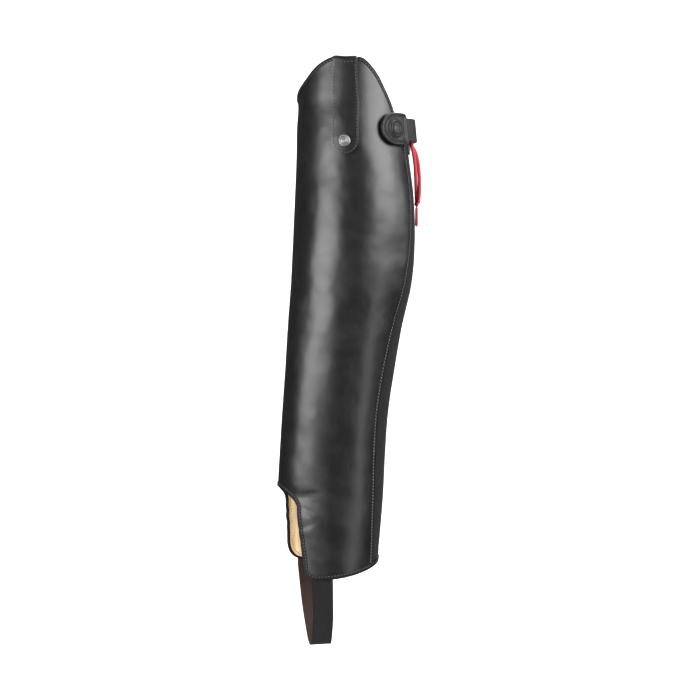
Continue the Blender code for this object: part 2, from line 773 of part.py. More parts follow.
def make_top_strap():
    """A strap up the outer side that folds over the top edge, with a round lower end."""
    low_end = STRAP_END - top_height(STRAP_ANGLE)
    round_from = low_end + STRAP_HALF_LOW
    path = []
    for turn in STRAP_END_TURNS:
        path.append((low_end + STRAP_HALF_LOW * (1 - math.cos(math.radians(turn))), GAP))
    path += [(round_from * (1 - k / STRAP_ROWS), GAP) for k in range(1, STRAP_ROWS)]
    path += [(STRAP_FOLD_FROM, GAP), (0.0, GAP), (GAP, 0.0), (GAP, -WALL - GAP)]
    path += [(over, -WALL - 2 * GAP) for over in STRAP_INSIDE_ROWS]
    points, faces = [], []
    for over, out in path:
        drop = max(0.0, round_from - over)
        widened = smooth_step(over / (STRAP_WIDENS * low_end))
        half = STRAP_HALF_TOP + (STRAP_HALF_LOW - STRAP_HALF_TOP) * widened
        half *= math.sqrt(max(1 - (drop / STRAP_HALF_LOW) ** 2, 0.0))
        for i in range(STRAP_COLUMNS + 1):
            across = half * (2 * i / STRAP_COLUMNS - 1)
            middle = top_height(STRAP_ANGLE) + min(over, 0.0)
            leaned = STRAP_ANGLE - STRAP_LEAN * min(over, 0.0)
            angle = leaned + across * degrees_per_metre(STRAP_ANGLE, middle)
            points.append(leg_point(angle, top_height(angle) + over, out))
    wide = STRAP_COLUMNS + 1
    for j in range(len(path) - 1):
        for i in range(STRAP_COLUMNS):
            a = j * wide + i
            faces.append([a, a + wide, a + wide + 1, a + 1])
    obj = new_object("top_strap", mesh_from(points, faces, "top_strap"), "black_leather")
    shade_round(obj)
    thicken(obj, STRAP, 1)


def turned_button(name, radius, profile, material, place):
    """A turned solid from its profile, run from its top to its bottom."""
    shape = bmesh.new()
    line = [shape.verts.new((p.radius_share * radius, 0, p.height)) for p in profile]
    for a, b in zip(line, line[1:]):
        shape.edges.new((a, b))
    mesh = bpy.data.meshes.new(name)
    shape.to_mesh(mesh)
    shape.free()
    obj = new_object(name, mesh, material)
    screw = obj.modifiers.new("Turn", "SCREW")
    screw.steps = screw.render_steps = BUTTON_STEPS
    screw.use_merge_vertices = True
    screw.merge_threshold = 0.00001
    screw.use_smooth_shade = True
    obj.matrix_world = place @ Matrix.Rotation(math.radians(90), 4, "Y")


def make_snap():
    """The metal snap on the strap's round end: a rim, a groove and a low cap."""
    place = leg_frame(SNAP_ANGLE, SNAP_HEIGHT, 2 * GAP + STRAP)
    turned_button("top_snap", SNAP_RADIUS, SNAP_PROFILE, "snap_metal", place)


def closure_out(angle, height):
    """How far the closure strap's inner face stands off the leather: it bridges the zip."""
    resting = GAP if angle < 0 else CLOSURE_LATERAL_OUT
    rise = smooth_step((BRIDGE_OUT - abs(angle)) / (BRIDGE_OUT - BRIDGE_IN))
    up = (height - CLOSURE_LOW) / (CLOSURE_HIGH - CLOSURE_LOW)
    bridge = CLOSURE_RISE + (CLOSURE_TOP_RISE - CLOSURE_RISE) * up
    return resting + (bridge - resting) * rise


def make_closure_strap():
    points, faces = [], []
    for k in range(CLOSURE_COLUMNS + 1):
        angle = CLOSURE_FROM + (CLOSURE_TO - CLOSURE_FROM) * k / CLOSURE_COLUMNS
        for j in range(CLOSURE_ROWS + 1):
            height = CLOSURE_LOW + (CLOSURE_HIGH - CLOSURE_LOW) * j / CLOSURE_ROWS
            points.append(leg_point(angle, height, closure_out(angle, height)))
    tall = CLOSURE_ROWS + 1
    for k in range(CLOSURE_COLUMNS):
        for j in range(CLOSURE_ROWS):
            a = k * tall + j
            faces.append([a, a + 1, a + tall + 1, a + tall])
    obj = new_object("closure_strap", mesh_from(points, faces, "closure_strap"), "black_leather")
    shade_round(obj, SHARP_STRAP_ANGLE)
    thicken(obj, CLOSURE, 1)


def tab_reach(turn):
    """Distance from the tab's middle to its edge: a half circle, then a straight end with round corners."""
    across, up = math.cos(turn), math.sin(turn)
    if across >= 0:
        return TAB_RADIUS
    reach = min(TAB_RADIUS / max(abs(up), 1e-6), TAB_LENGTH / abs(across))
    corner = Vector((-TAB_LENGTH + TAB_CORNER, math.copysign(TAB_RADIUS - TAB_CORNER, up)))
    direction = Vector((across, up))
    along = corner.dot(direction)
    side = (corner - along * direction).length
    if side < TAB_CORNER and (reach * direction - corner).length > TAB_CORNER:
        edge = along + math.sqrt(TAB_CORNER**2 - side**2)
        past_corner = abs(reach * direction.x) > abs(corner.x) and abs(reach * direction.y) > abs(corner.y)
        reach = edge if past_corner else reach
    return reach


def tab_floor(angle, height):
    """The tab lies on the strap, and past the strap's end it steps down to the leather."""
    on_strap = closure_out(angle, height) + TAB_OUT
    share = smooth_step((angle - TAB_STEP_FROM) / (TAB_STEP_TO - TAB_STEP_FROM))
    return on_strap + (GAP - on_strap) * share


def tab_point(turn, reach, out):
    height = TAB_HEIGHT + reach * math.sin(turn)
    across = reach * math.cos(turn)
    angle = TAB_ANGLE + across * degrees_per_metre(TAB_ANGLE, TAB_HEIGHT)
    extra = TAB_EXTRA * smooth_step((angle - TAB_STEP_FROM) / (TAB_STEP_TO - TAB_STEP_FROM))
    return leg_point(angle, height, tab_floor(angle, height) + out + (extra if out > 0 else 0.0))


def make_tab():
    """The strap's moulded end: a raised rim round its edge and a flat round boss for the button."""
    turns = [2 * math.pi * k / TAB_SPOKES for k in range(TAB_SPOKES)]
    seat = leg_frame(TAB_ANGLE, TAB_HEIGHT, TAB_TOP + BOSS_RISE)
    rings = [
        [seat @ Vector((0, -radius * math.cos(t), radius * math.sin(t))) for t in turns]
        for radius in (BOSS_INNER, BOSS_RADIUS)
    ]
    rings.append([tab_point(t, BOSS_FOOT, TAB) for t in turns])
    rings += [[tab_point(t, tab_reach(t) - rim.inset, rim.out) for t in turns] for rim in TAB_RIM]
    rings.append([tab_point(t, BOSS_INNER, 0.0) for t in turns])
    points = [seat.translation.copy()] + [p for ring in rings for p in ring] + [tab_point(0, 0, 0.0)]
    last = len(points) - 1
    faces = []
    for k in range(TAB_SPOKES):
        nxt = (k + 1) % TAB_SPOKES
        faces.append([0, 1 + k, 1 + nxt])
        for ring in range(len(rings) - 1):
            a = 1 + ring * TAB_SPOKES
            b = a + TAB_SPOKES
            faces.append([a + k, b + k, b + nxt, a + nxt])
        a = 1 + (len(rings) - 1) * TAB_SPOKES
        faces.append([a + nxt, a + k, last])
    tab = new_object("closure_tab", mesh_from(points, faces, "closure_tab"), "black_rubber")
    face_outward(tab)
    shade_round(tab)

    place = leg_frame(TAB_ANGLE, TAB_HEIGHT, TAB_TOP + BOSS_RISE + GAP)
    turned_button("closure_stud", STUD_RADIUS, STUD_PROFILE, "black_rubber", place)


def make_foot_strap():
    """An elastic band from the outer hem down, under the boot and up to the inner hem."""
    sides = [p.side for p in FOOT_LOOP]
    heights = [p.height for p in FOOT_LOOP]
    places = list(range(len(FOOT_LOOP)))
    half = []
    for k in range(LOOP_STEPS + 1):
        at = places[-1] * k / LOOP_STEPS
        half.append((curve_value(places, sides, at), curve_value(places, heights, at)))
    loop = [(-side, height) for side, height in half[:0:-1]] + half
    loop.append((sides[-1], INNER_ARCH.hem - 2 * GAP))
    drop = heights[-1] - heights[0]
    points, faces = [], []
    for side, height in loop:
        up = min((height - heights[0]) / drop, 1.0)
        middle = FOOT_STRAP_BOTTOM_X + (FOOT_STRAP_TOP_X - FOOT_STRAP_BOTTOM_X) * up
        for i in range(LOOP_COLUMNS + 1):
            x = middle + FOOT_STRAP_WIDTH * (i / LOOP_COLUMNS - 0.5)
            lean = math.copysign(1, side) * (wall_side(x) - sides[-1]) * up**3
            points.append(Vector((x, side + lean, height)))
    wide = LOOP_COLUMNS + 1
    for j in range(len(loop) - 1):
        for i in range(LOOP_COLUMNS):
            a = j * wide + i
            faces.append([a, a + 1, a + wide + 1, a + wide])
    obj = new_object("foot_strap", mesh_from(points, faces, "foot_strap"), "black_elastic")
    shade_round(obj)
    thicken(obj, FOOT_STRAP, 0)


def wall_side(x):
    """How far out the middle of the wall is at the hem, at one place along the foot."""
    hem = OUTER_ARCH.hem
    back, front = section_size("back", hem), section_size("front", hem)
    widest = front + WIDEST_SHARE * (back - front)
    reach = widest - front if x < widest else back - widest
    share = (x - widest) / (reach - WALL / 2)
    return (section_size("half_width", hem) - WALL / 2) * math.sqrt(1 - share * share)


def make_cord_pull():
    """Two strands of cord hanging from the slider's holder into one moulded tip."""
    for name, route in CORD_ROUTES.items():
        places = list(range(len(route)))
        data = bpy.data.curves.new(name, "CURVE")
        data.dimensions = "3D"
        data.bevel_depth = CORD_RADIUS
        data.bevel_resolution = 2
        data.use_fill_caps = True
        spline = data.splines.new("POLY")
        spline.points.add(CORD_STEPS)
        for k in range(CORD_STEPS + 1):
            at = places[-1] * k / CORD_STEPS
            x, y, z = (curve_value(places, [p[axis] for p in route], at) for axis in range(3))
            spline.points[k].co = (x, y, z, 1)
        obj = bpy.data.objects.new(name, data)
        data.materials.append(bpy.data.materials["red_cord"])
        PARTS.objects.link(obj)

    rings = []
    turns = [2 * math.pi * k / TIP_SIDES for k in range(TIP_SIDES)]
    for ring in TIP_RINGS:
        rings.append([
            Vector((TIP_X + ring.half_x * math.cos(t), ring.half_y * math.sin(t), ring.height))
            for t in turns
        ])
    loft("pull_cord_tip", rings, "red_cord")


def make_materials():
    for name, (colour, roughness, metallic) in MATERIALS.items():
        material = bpy.data.materials.new(name)
        material.use_nodes = True
        shader = material.node_tree.nodes["Principled BSDF"]
        shader.inputs["Base Color"].default_value = (*colour, 1)
        shader.inputs["Roughness"].default_value = roughness
        shader.inputs["Metallic"].default_value = metallic


for old in list(bpy.data.objects):
    bpy.data.objects.remove(old)
PARTS = bpy.data.collections.new("half_chap")
GUIDES = bpy.data.collections.new("cutters")
bpy.context.scene.collection.children.link(PARTS)
bpy.context.scene.collection.children.link(GUIDES)
make_materials()
panel = panel_halves()
leather_edge = leather_sheet("leg_panel", panel, 0.0, LEATHER, "black_leather")
leather_sheet("lining", panel, LEATHER + GAP, LINING, "tan_lining")
make_stretch_panel()
make_zip()
make_bindings(leather_edge, panel)
make_top_strap()
make_snap()
make_closure_strap()
make_tab()
make_foot_strap()
make_cord_pull()
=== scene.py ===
import math
from collections import namedtuple

import bmesh
import bpy
from mathutils import Matrix, Vector
from mathutils.kdtree import KDTree


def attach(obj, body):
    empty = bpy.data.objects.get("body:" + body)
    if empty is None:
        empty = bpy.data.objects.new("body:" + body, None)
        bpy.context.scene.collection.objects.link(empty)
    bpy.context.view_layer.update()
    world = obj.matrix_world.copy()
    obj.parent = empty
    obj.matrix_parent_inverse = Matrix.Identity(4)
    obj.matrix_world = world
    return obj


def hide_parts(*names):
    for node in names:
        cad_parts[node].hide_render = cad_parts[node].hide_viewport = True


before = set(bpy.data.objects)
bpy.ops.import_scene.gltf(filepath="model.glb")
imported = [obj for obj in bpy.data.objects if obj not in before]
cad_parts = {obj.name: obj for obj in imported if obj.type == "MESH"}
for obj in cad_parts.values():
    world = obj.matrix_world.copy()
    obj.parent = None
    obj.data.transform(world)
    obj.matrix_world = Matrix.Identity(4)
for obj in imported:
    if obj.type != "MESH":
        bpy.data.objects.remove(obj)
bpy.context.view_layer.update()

# The camera looks level at the outer side of the leg, from a little in front of it.
CAMERA_AIM, CAMERA_AWAY, CAMERA_LENS = Vector((-0.0041, 0.0, -0.112)), 1.25, 69.9
CAMERA_TURN, CAMERA_RISE = math.radians(-12.5), math.radians(2.9)
toward_camera = Vector((
    math.sin(CAMERA_TURN) * math.cos(CAMERA_RISE),
    -math.cos(CAMERA_TURN) * math.cos(CAMERA_RISE),
    math.sin(CAMERA_RISE),
))
camera = bpy.data.objects.new("camera", bpy.data.cameras.new("camera"))
camera.data.lens = CAMERA_LENS
camera.location = CAMERA_AIM + CAMERA_AWAY * toward_camera
camera.rotation_euler = (-toward_camera).to_track_quat("-Z", "Y").to_euler()
bpy.context.scene.collection.objects.link(camera)
bpy.context.scene.camera = camera


# ---- The cord pull -------------------------------------------------------------------
# Two strands of braided red cord hang from the slider's holder, wind once round each other
# and end in one moulded tip. The braid is woven round a core, and the tip is pressed on hot.
CORD_WIDTH, BRAID_PITCH, BRAID_RELIEF = 0.0034, 0.0034, 0.07
STRAND_STEPS, STRAND_AROUND = 110, 24
INNER_STRAND = (
    (0.0535, -0.0021, 0.0795), (0.0539, -0.0021, 0.0760), (0.0567, -0.0010, 0.0620),
    (0.0579, -0.0002, 0.0485), (0.0588, 0.0014, 0.0350), (0.0594, 0.0019, 0.0230),
)
OUTER_STRAND = (
    (0.0535, 0.0021, 0.0795), (0.0545, 0.0021, 0.0760), (0.0577, 0.0018, 0.0715),
    (0.0603, 0.0010, 0.0620), (0.0616, 0.0002, 0.0485), (0.0614, -0.0014, 0.0350),
    (0.0604, -0.0019, 0.0230),
)
# The tip from its collar down: height, half its depth and half its width
TIP_X = 0.0590
TIP_PROFILE = (
    (0.0236, 0.0018, 0.0034), (0.0228, 0.0021, 0.0037), (0.0215, 0.0019, 0.0031),
    (0.0203, 0.0012, 0.0014), (0.0196, 0.0010, 0.0010), (0.0190, 0.0011, 0.0011),
    (0.0184, 0.0014, 0.0014), (0.0176, 0.0015, 0.0015), (0.0100, 0.0014, 0.0014),
    (0.0035, 0.0014, 0.0014), (0.0022, 0.0012, 0.0012), (0.0016, 0.0007, 0.0007),
)


class Socket:
    """An output in a node tree; in a material, a sum written with it adds its Math node."""

    def __init__(self, tree, output=None):
        self.tree, self.output = tree, output

    def add(self, kind, settings=(), values=(), out=0):
        """A new node: first its settings, then the values or links of its sockets."""
        node = self.tree.nodes.new(kind)
        for name, value in dict(settings).items():
            setattr(node, name, value)
        for name, value in dict(values).items():
            if isinstance(value, Socket):
                self.tree.links.new(value.output, node.inputs[name])
            else:
                node.inputs[name].default_value = value
        return Socket(self.tree, node.outputs[out])

    def math(self, operation, *terms):
        return self.add("ShaderNodeMath", {"operation": operation}, enumerate(terms or (self,)))

    def between(self, low, high):
        """This value run over a range, as 0 to 1, held at both ends."""
        return self.add("ShaderNodeMapRange", {}, {0: self, 1: low, 2: high, 3: 0.0, 4: 1.0})

    def blend(self, first, second):
        """Two colours mixed by this value."""
        first, second = (c if isinstance(c, Socket) else (*c, 1) for c in (first, second))
        return self.add("ShaderNodeMix", {"data_type": "RGBA"}, {0: self, 6: first, 7: second}, 2)

    def noise(self, scale, detail=2.0, roughness=0.5):
        values = {"Vector": self, "Scale": scale, "Detail": detail, "Roughness": roughness}
        return self.add("ShaderNodeTexNoise", {}, values)

    def stretched(self, scale):
        """Places turned into a stretched pattern's own, for streaks and ribs."""
        return self.add("ShaderNodeMapping", {}, {"Vector": self, "Scale": scale})

    def bump(self, distance, strength=1.0):
        values = {"Height": self, "Distance": distance, "Strength": strength}
        return self.add("ShaderNodeBump", {}, values)

    def __add__(self, other):
        return self.math("ADD", self, other)

    def __sub__(self, other):
        return self.math("SUBTRACT", self, other)

    def __rsub__(self, other):
        return self.math("SUBTRACT", other, self)

    def __mul__(self, other):
        return self.math("MULTIPLY", self, other)

    __radd__ = __add__
    __rmul__ = __mul__


def new_finish(name, pattern, **constants):
    """A material whose shader takes fixed values, and the ones that a pattern works out."""
    material = bpy.data.materials.new(name)
    material.use_nodes = True
    tree = material.node_tree
    sockets = tree.nodes["Principled BSDF"].inputs
    values = {socket.replace("_", " "): value for socket, value in constants.items()}
    values.update(pattern(Socket(tree).add("ShaderNodeTexCoord", out=3)))
    for socket, value in values.items():
        if isinstance(value, Socket):
            tree.links.new(value.output, sockets[socket])
        else:
            sockets[socket].default_value = value
    return material


def smooth_step(share):
    share = min(max(share, 0.0), 1.0)
    return share * share * (3 - 2 * share)


def curve_value(table, at):
    """A smooth curve through a short table of (place, value) pairs, read at one place."""
    last = len(table) - 1
    i = 0
    while i < last - 1 and at > table[i + 1][0]:
        i += 1

    def slope(k):
        (low, low_value), (high, high_value) = table[max(k - 1, 0)], table[min(k + 1, last)]
        return (high_value - low_value) / (high - low)

    (start, start_value), (end, end_value) = table[i], table[i + 1]
    span = end - start
    t = (at - start) / span
    return (
        (2 * t**3 - 3 * t**2 + 1) * start_value
        + (t**3 - 2 * t**2 + t) * span * slope(i)
        + (3 * t**2 - 2 * t**3) * end_value
        + (t**3 - t**2) * span * slope(i + 1)
    )


def smooth_route(route, steps):
    """Steps + 1 places along a smooth curve through the places of a short table."""
    tables = [list(enumerate(values)) for values in zip(*route)]
    last = len(route) - 1
    return [[curve_value(table, last * k / steps) for table in tables] for k in range(steps + 1)]


def full_turn(count):
    return [2 * math.pi * k / count for k in range(count)]


def new_piece(name, points, faces, materials, uvs=None):
    """A piece at the origin with its place in its mesh; uvs has one pair for each point."""
    mesh = bpy.data.meshes.new(name)
    mesh.from_pydata([tuple(p) for p in points], [], faces)
    for material in materials:
        mesh.materials.append(material)
    if uvs:
        layer = mesh.uv_layers.new(name="UVMap")
        for loop in mesh.loops:
            layer.data[loop.index].uv = uvs[loop.vertex_index]
    mesh.shade_smooth()
    piece = bpy.data.objects.new(name, mesh)
    bpy.context.scene.collection.objects.link(piece)
    return piece


def fasten(piece, slot, *nodes):
    """The piece rides on the half chap, and stands for the CAD nodes named."""
    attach(piece, "root")
    if nodes:
        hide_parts(*nodes)
    return piece


def through_rings(name, rings, materials):
    """A closed solid through like rings of points; u runs round it, and v from ring to ring."""
    count = len(rings[0])
    uvs, faces, run = [], [], 0.0
    for j, ring in enumerate(rings):
        if j:
            run += sum((a - b).length for a, b in zip(ring, rings[j - 1])) / count
        uvs += [(abs(2 * i / count - 1), run) for i in range(count)]
    for j in range(len(rings) - 1):
        for i in range(count):
            a, b = j * count + i, j * count + (i + 1) % count
            faces.append([a, b, b + count, a + count])
    last = (len(rings) - 1) * count
    faces += [list(range(count))[::-1], [last + i for i in range(count)]]
    piece = new_piece(name, [p for ring in rings for p in ring], faces, materials, uvs)
    shape = bmesh.new()
    shape.from_mesh(piece.data)
    bmesh.ops.recalc_face_normals(shape, faces=shape.faces)
    shape.to_mesh(piece.data)
    shape.free()
    return piece


def braid_pattern(place):
    fine = place.noise(5200, 3)
    worn = place.noise(260, 2).between(0.35, 0.7)
    yarn = place.add("ShaderNodeAttribute", {"attribute_name": "yarn"}, out=2)
    # The colour follows the braid's relief: darker where the wall sinks between the yarns and paler on
    # their crests, as painted shade and painted light; fine noise adds random tone.
    colour = (yarn * 0.7 + fine * 0.3).blend((0.19, 0.005, 0.012), (0.44, 0.020, 0.036))
    return {
        "Base Color": (worn * 0.25).blend(colour, (0.52, 0.07, 0.085)),
        "Roughness": 0.62 - 0.15 * fine,
        "Normal": fine.bump(0.00012, 0.6),
    }


def tip_pattern(place):
    mould = place.noise(900, 3)
    return {
        "Base Color": mould.between(0.3, 0.7).blend((0.23, 0.006, 0.014), (0.33, 0.010, 0.022)),
        "Roughness": 0.24 + 0.2 * mould,
        "Normal": mould.bump(0.00006),
    }


red_cord = new_finish(
    "braided_red_cord", braid_pattern, Sheen_Weight=0.25, Sheen_Roughness=0.4, Specular_IOR_Level=0.35
)
red_tip = new_finish("moulded_red_tip", tip_pattern, Coat_Roughness=0.2, Coat_Weight=0.3)


def make_strand(name, route):
    """A braided tube along a smooth route: its wall rises and falls where the yarns cross."""
    line = [Vector(point) for point in smooth_route(route, STRAND_STEPS)]
    side = Vector((0, 1, 0))
    run, rings, yarns = 0.0, [], []
    for k, here in enumerate(line):
        along = (line[min(k + 1, STRAND_STEPS)] - line[max(k - 1, 0)]).normalized()
        side = (side - side.dot(along) * along).normalized()
        other = along.cross(side)
        run += (here - line[max(k - 1, 0)]).length
        ring = []
        for turn in full_turn(STRAND_AROUND):
            over = math.sin(2 * turn + 2 * math.pi * run / BRAID_PITCH)
            under = math.sin(2 * turn - 2 * math.pi * run / BRAID_PITCH)
            yarn = max(abs(over), abs(under))
            radius = CORD_WIDTH / 2 * (1 - BRAID_RELIEF + BRAID_RELIEF * yarn)
            ring.append(here + radius * (math.cos(turn) * side + math.sin(turn) * other))
            yarns.append(yarn)
        rings.append(ring)
    strand = through_rings(name, rings, [red_cord])
    # The yarns' rise is kept on the points, so the braid can be painted darker in its hollows as painted
    # shade.
    strand.data.attributes.new("yarn", "FLOAT", "POINT").data.foreach_set("value", yarns)
    return strand, line, run


tip_rings = [
    [Vector((TIP_X + half_x * math.cos(t), half_y * math.sin(t), z)) for t in full_turn(24)]
    for z, half_x, half_y in TIP_PROFILE
]
tip = fasten(through_rings("pull_tip", tip_rings, [red_tip]), "red_cord", "pull_cord_tip")
for side_name, route in (("inner", INNER_STRAND), ("outer", OUTER_STRAND)):
    strand, line, run = make_strand(f"pull_strand_{side_name}", route)
    fasten(strand, "red_cord", f"pull_cord_{side_name}")


# ---- The leather ---------------------------------------------------------------------
# One piece of smooth black cowhide goes round the leg from the zip to the rear seam, blocked
# to the calf, cut high over the knee's outer side and arched over the instep.
GAP = 0.0003
LEATHER, LINING, ELASTIC = 0.0020, 0.0010, 0.0015
WALL = LEATHER + GAP + LINING
BINDING = 0.0008
BINDING_REACH = GAP + BINDING
METRES_PER_DEGREE, LEG_RADIUS = 0.00083, 0.045
ANGLE_NUDGE, HEIGHT_NUDGE = 0.5, 0.001

# The leg's sections: height, where its back and front lie, and half its width
SECTIONS = (
    (-0.330, 0.0195, -0.0768, 0.0390), (-0.250, 0.0265, -0.0722, 0.0395),
    (-0.210, 0.0285, -0.0698, 0.0410), (-0.170, 0.0313, -0.0672, 0.0425),
    (-0.130, 0.0372, -0.0642, 0.0450), (-0.090, 0.0442, -0.0616, 0.0480),
    (-0.050, 0.0532, -0.0585, 0.0510), (-0.010, 0.0560, -0.0564, 0.0525),
    (0.030, 0.0545, -0.0545, 0.0520), (0.060, 0.0505, -0.0532, 0.0510),
    (0.090, 0.0467, -0.0526, 0.0495), (0.107, 0.0445, -0.0514, 0.0488),
    (0.120, 0.0428, -0.0520, 0.0485), (0.160, 0.0390, -0.0520, 0.0480),
)
BACK, FRONT, HALF_WIDTH = ([(row[0], row[k]) for row in SECTIONS] for k in (1, 2, 3))
WIDEST_SHARE = 0.54

# Creases: where the leather settles over the ankle, how deep (a ridge is below 0), how far they
# reach, and how steeply they climb in metres a degree
Crease = namedtuple("Crease", "angle height depth reach_angle reach_height climb")
CREASES = [Crease(*row) for row in (
    (118, -0.2430, 0.0011, 30, 0.0080, 0.0), (112, -0.2680, -0.0008, 26, 0.0100, 0.0),
    (104, -0.2870, 0.0009, 28, 0.0090, 0.0), (246, -0.2520, 0.0010, 30, 0.0090, 0.0),
    (255, -0.2810, 0.0009, 26, 0.0100, 0.0), (134, -0.2330, -0.0004, 22, 0.0055, -0.00008),
    (128, -0.2400, 0.0004, 18, 0.0036, -0.00012), (122, -0.2550, 0.0004, 14, 0.0026, 0.00030),
    (126, -0.2610, -0.0003, 14, 0.0036, 0.00020), (127, -0.2680, 0.0005, 16, 0.0024, -0.00040),
    (122, -0.2735, -0.0004, 14, 0.0034, -0.00035), (132, -0.2800, 0.0003, 12, 0.0030, -0.00015),
    (120, -0.2890, -0.0004, 18, 0.0050, 0.00008), (118, -0.2985, 0.0004, 20, 0.0040, 0.00010),
    (232, -0.2430, 0.0006, 22, 0.0036, 0.00010), (236, -0.2600, 0.0007, 22, 0.0030, 0.00020),
    (230, -0.2730, 0.0006, 18, 0.0032, 0.00022), (238, -0.2900, -0.0005, 18, 0.0050, 0.0),
)]

# The top edge's height at each angle round the leg, and the rear seam's angle at each height
TOP_EDGE = (
    (-40, 0.1055), (-25, 0.1030), (0, 0.0975), (38, 0.0972), (47, 0.0982), (54, 0.1012),
    (58, 0.1088), (64, 0.1188), (76, 0.1348), (90, 0.1460), (98, 0.1478), (110, 0.1476),
    (121, 0.1482), (139, 0.1420), (160, 0.1295), (182, 0.1212), (215, 0.1130), (260, 0.1080),
    (320, 0.1055), (335, 0.1030), (360, 0.0975),
)
REAR_TOP = 0.0975
SEAM_LINE = (
    (-0.330, 38.5), (-0.305, 41.0), (-0.253, 46.5), (-0.195, 50.5), (-0.135, 51.5), (-0.095, 48.0),
    (-0.048, 42.5), (0.000, 37.0), (0.040, 36.0), (0.070, 36.5), (0.098, 37.0), (0.120, 37.0),
)
HEM_BACK, HEM_LEVEL_ANGLE = -0.3060, 112
ARCH_TOP, ARCH_RISE, ARCH_FLARE = -0.2360, 0.0170, 0.10
ArchSide = namedtuple("ArchSide", "half_width corner_radius hem")
OUTER_ARCH = ArchSide(0.0240, 0.0105, -0.3165)
INNER_ARCH = ArchSide(0.0225, 0.0200, -0.3115)

CHAIN_HALF = 0.0030
TAPE_START = CHAIN_HALF + 2 * GAP
TAPE_WIDTH = 0.0070

# The leather's mesh: its columns and rows, and how its rows crowd toward the top and the arch
SIDE_COLUMNS, ARCH_ROWS, UPPER_ROWS, SPLIT_SHARE = 52, 56, 130, 0.225
HEM_STEPS, ARCH_STEPS, TOP_STEPS = 60, 120, 160
CROWD_TO_TOP, CROWD_TO_ARCH = 1.5, 1.4

# How thin leather and lining are pared at a cut edge, and how wide the pared band is
EDGE_LEATHER, EDGE_GAP, EDGE_LINING, SKIVED_BAND = 0.0008, 0.0001, 0.0006, 0.0100


def crease_depth(angle, height):
    total = 0.0
    for crease in CREASES:
        away = (angle - crease.angle + 180) % 360 - 180
        along = (height - crease.height - crease.climb * away) / crease.reach_height
        if abs(along) < 3:
            total += crease.depth * math.exp(-((away / crease.reach_angle) ** 2) - along * along)
    return total


def smooth_point(angle, height):
    """A point of the leather's outer face, before any offset."""
    back, front = curve_value(BACK, height), curve_value(FRONT, height)
    widest = front + WIDEST_SHARE * (back - front)
    cosine, sine = math.cos(math.radians(angle)), math.sin(math.radians(angle))
    reach = back - widest if cosine > 0 else widest - front
    bulge = 1 - crease_depth(angle, height) / LEG_RADIUS
    half_width = curve_value(HALF_WIDTH, height)
    return Vector((widest + reach * cosine * bulge, -half_width * sine * bulge, height))


def step_round(angle, height):
    return smooth_point(angle + ANGLE_NUDGE, height) - smooth_point(angle - ANGLE_NUDGE, height)


def step_up(angle, height):
    return smooth_point(angle, height + HEIGHT_NUDGE) - smooth_point(angle, height - HEIGHT_NUDGE)


def leg_normal(angle, height):
    return step_up(angle, height).cross(step_round(angle, height)).normalized()


def leg_point(angle, height, out=0.0):
    return smooth_point(angle, height) + out * leg_normal(angle, height)


def degrees_per_metre(angle, height):
    return 1 / step_round(angle, height).length


def rear_angle(side, height):
    """The angle of a line that runs up the calf a distance to one side of the zip's middle."""
    return math.degrees(math.asin(side / curve_value(HALF_WIDTH, height)))


def top_height(angle):
    """The leather's own top edge, inside the binding."""
    return curve_value(TOP_EDGE, (angle + 40) % 360 - 40) - BINDING_REACH


def hem_height(angle):
    from_back = abs((angle + 180) % 360 - 180)
    arch = OUTER_ARCH if angle % 360 <= 180 else INNER_ARCH
    return HEM_BACK + (arch.hem - HEM_BACK) * smooth_step(from_back / HEM_LEVEL_ANGLE) + BINDING_REACH


def seam_angle(height):
    return curve_value(SEAM_LINE, height)


def arch_angle(height, arch):
    """The leather's edge beside the instep, measured as on the outer side."""
    drop = ARCH_TOP + BINDING_REACH - height
    round_part = 1 - min(max(drop, 0.0) / ARCH_RISE, 1.0)
    half = ARCH_FLARE * drop + arch.half_width * math.sqrt(1 - round_part**2)
    half += BINDING_REACH * (drop > 0)
    return 180 - math.degrees(math.asin(min(half / curve_value(HALF_WIDTH, height), 1.0)))


def spread(points, count, crowding=1.0):
    """Count + 1 points along a line of (angle, height) points, closer together toward its end."""
    lengths = [0.0]
    for a, b in zip(points, points[1:]):
        lengths.append(lengths[-1] + math.hypot((b[0] - a[0]) * METRES_PER_DEGREE, b[1] - a[1]))
    spaced, i = [], 0
    for k in range(count + 1):
        target = lengths[-1] * (1 - (1 - k / count) ** crowding)
        while i < len(lengths) - 2 and lengths[i + 1] < target:
            i += 1
        share = (target - lengths[i]) / (lengths[i + 1] - lengths[i])
        spaced.append(tuple(a + share * (b - a) for a, b in zip(points[i], points[i + 1])))
    return spaced


def front_corner(arch):
    """The middle of the round corner between hem and arch, and its radius in degrees."""
    height = arch.hem + BINDING_REACH + arch.corner_radius
    radius = arch.corner_radius / METRES_PER_DEGREE
    return arch_angle(height, arch) - radius, height, radius


def corner_arc(arch, start, end, steps=12):
    angle, height, radius = front_corner(arch)
    turns = [math.radians(start + (end - start) * k / steps) for k in range(steps + 1)]
    return [(angle + radius * math.cos(t), height + arch.corner_radius * math.sin(t)) for t in turns]


def between(first, last, steps):
    return [first + (last - first) * k / steps for k in range(steps)]


def hem_line(arch, rear):
    """From the rear edge along the hem to the middle of the front corner."""
    turn = 1 if arch is OUTER_ARCH else -1
    flat = between(rear, front_corner(arch)[0], HEM_STEPS)
    return [(angle, hem_height(turn * angle)) for angle in flat] + corner_arc(arch, -90, -45)


def arch_line(arch):
    """From the middle of the front corner up to the arch's top."""
    low, top = front_corner(arch)[1], ARCH_TOP + BINDING_REACH
    heights = [low + (top - low) * (1 - (1 - k / ARCH_STEPS) ** 2) for k in range(1, ARCH_STEPS)]
    rise = [(arch_angle(height, arch), height) for height in heights]
    return corner_arc(arch, -45, 0) + rise + [(180.0, top)]


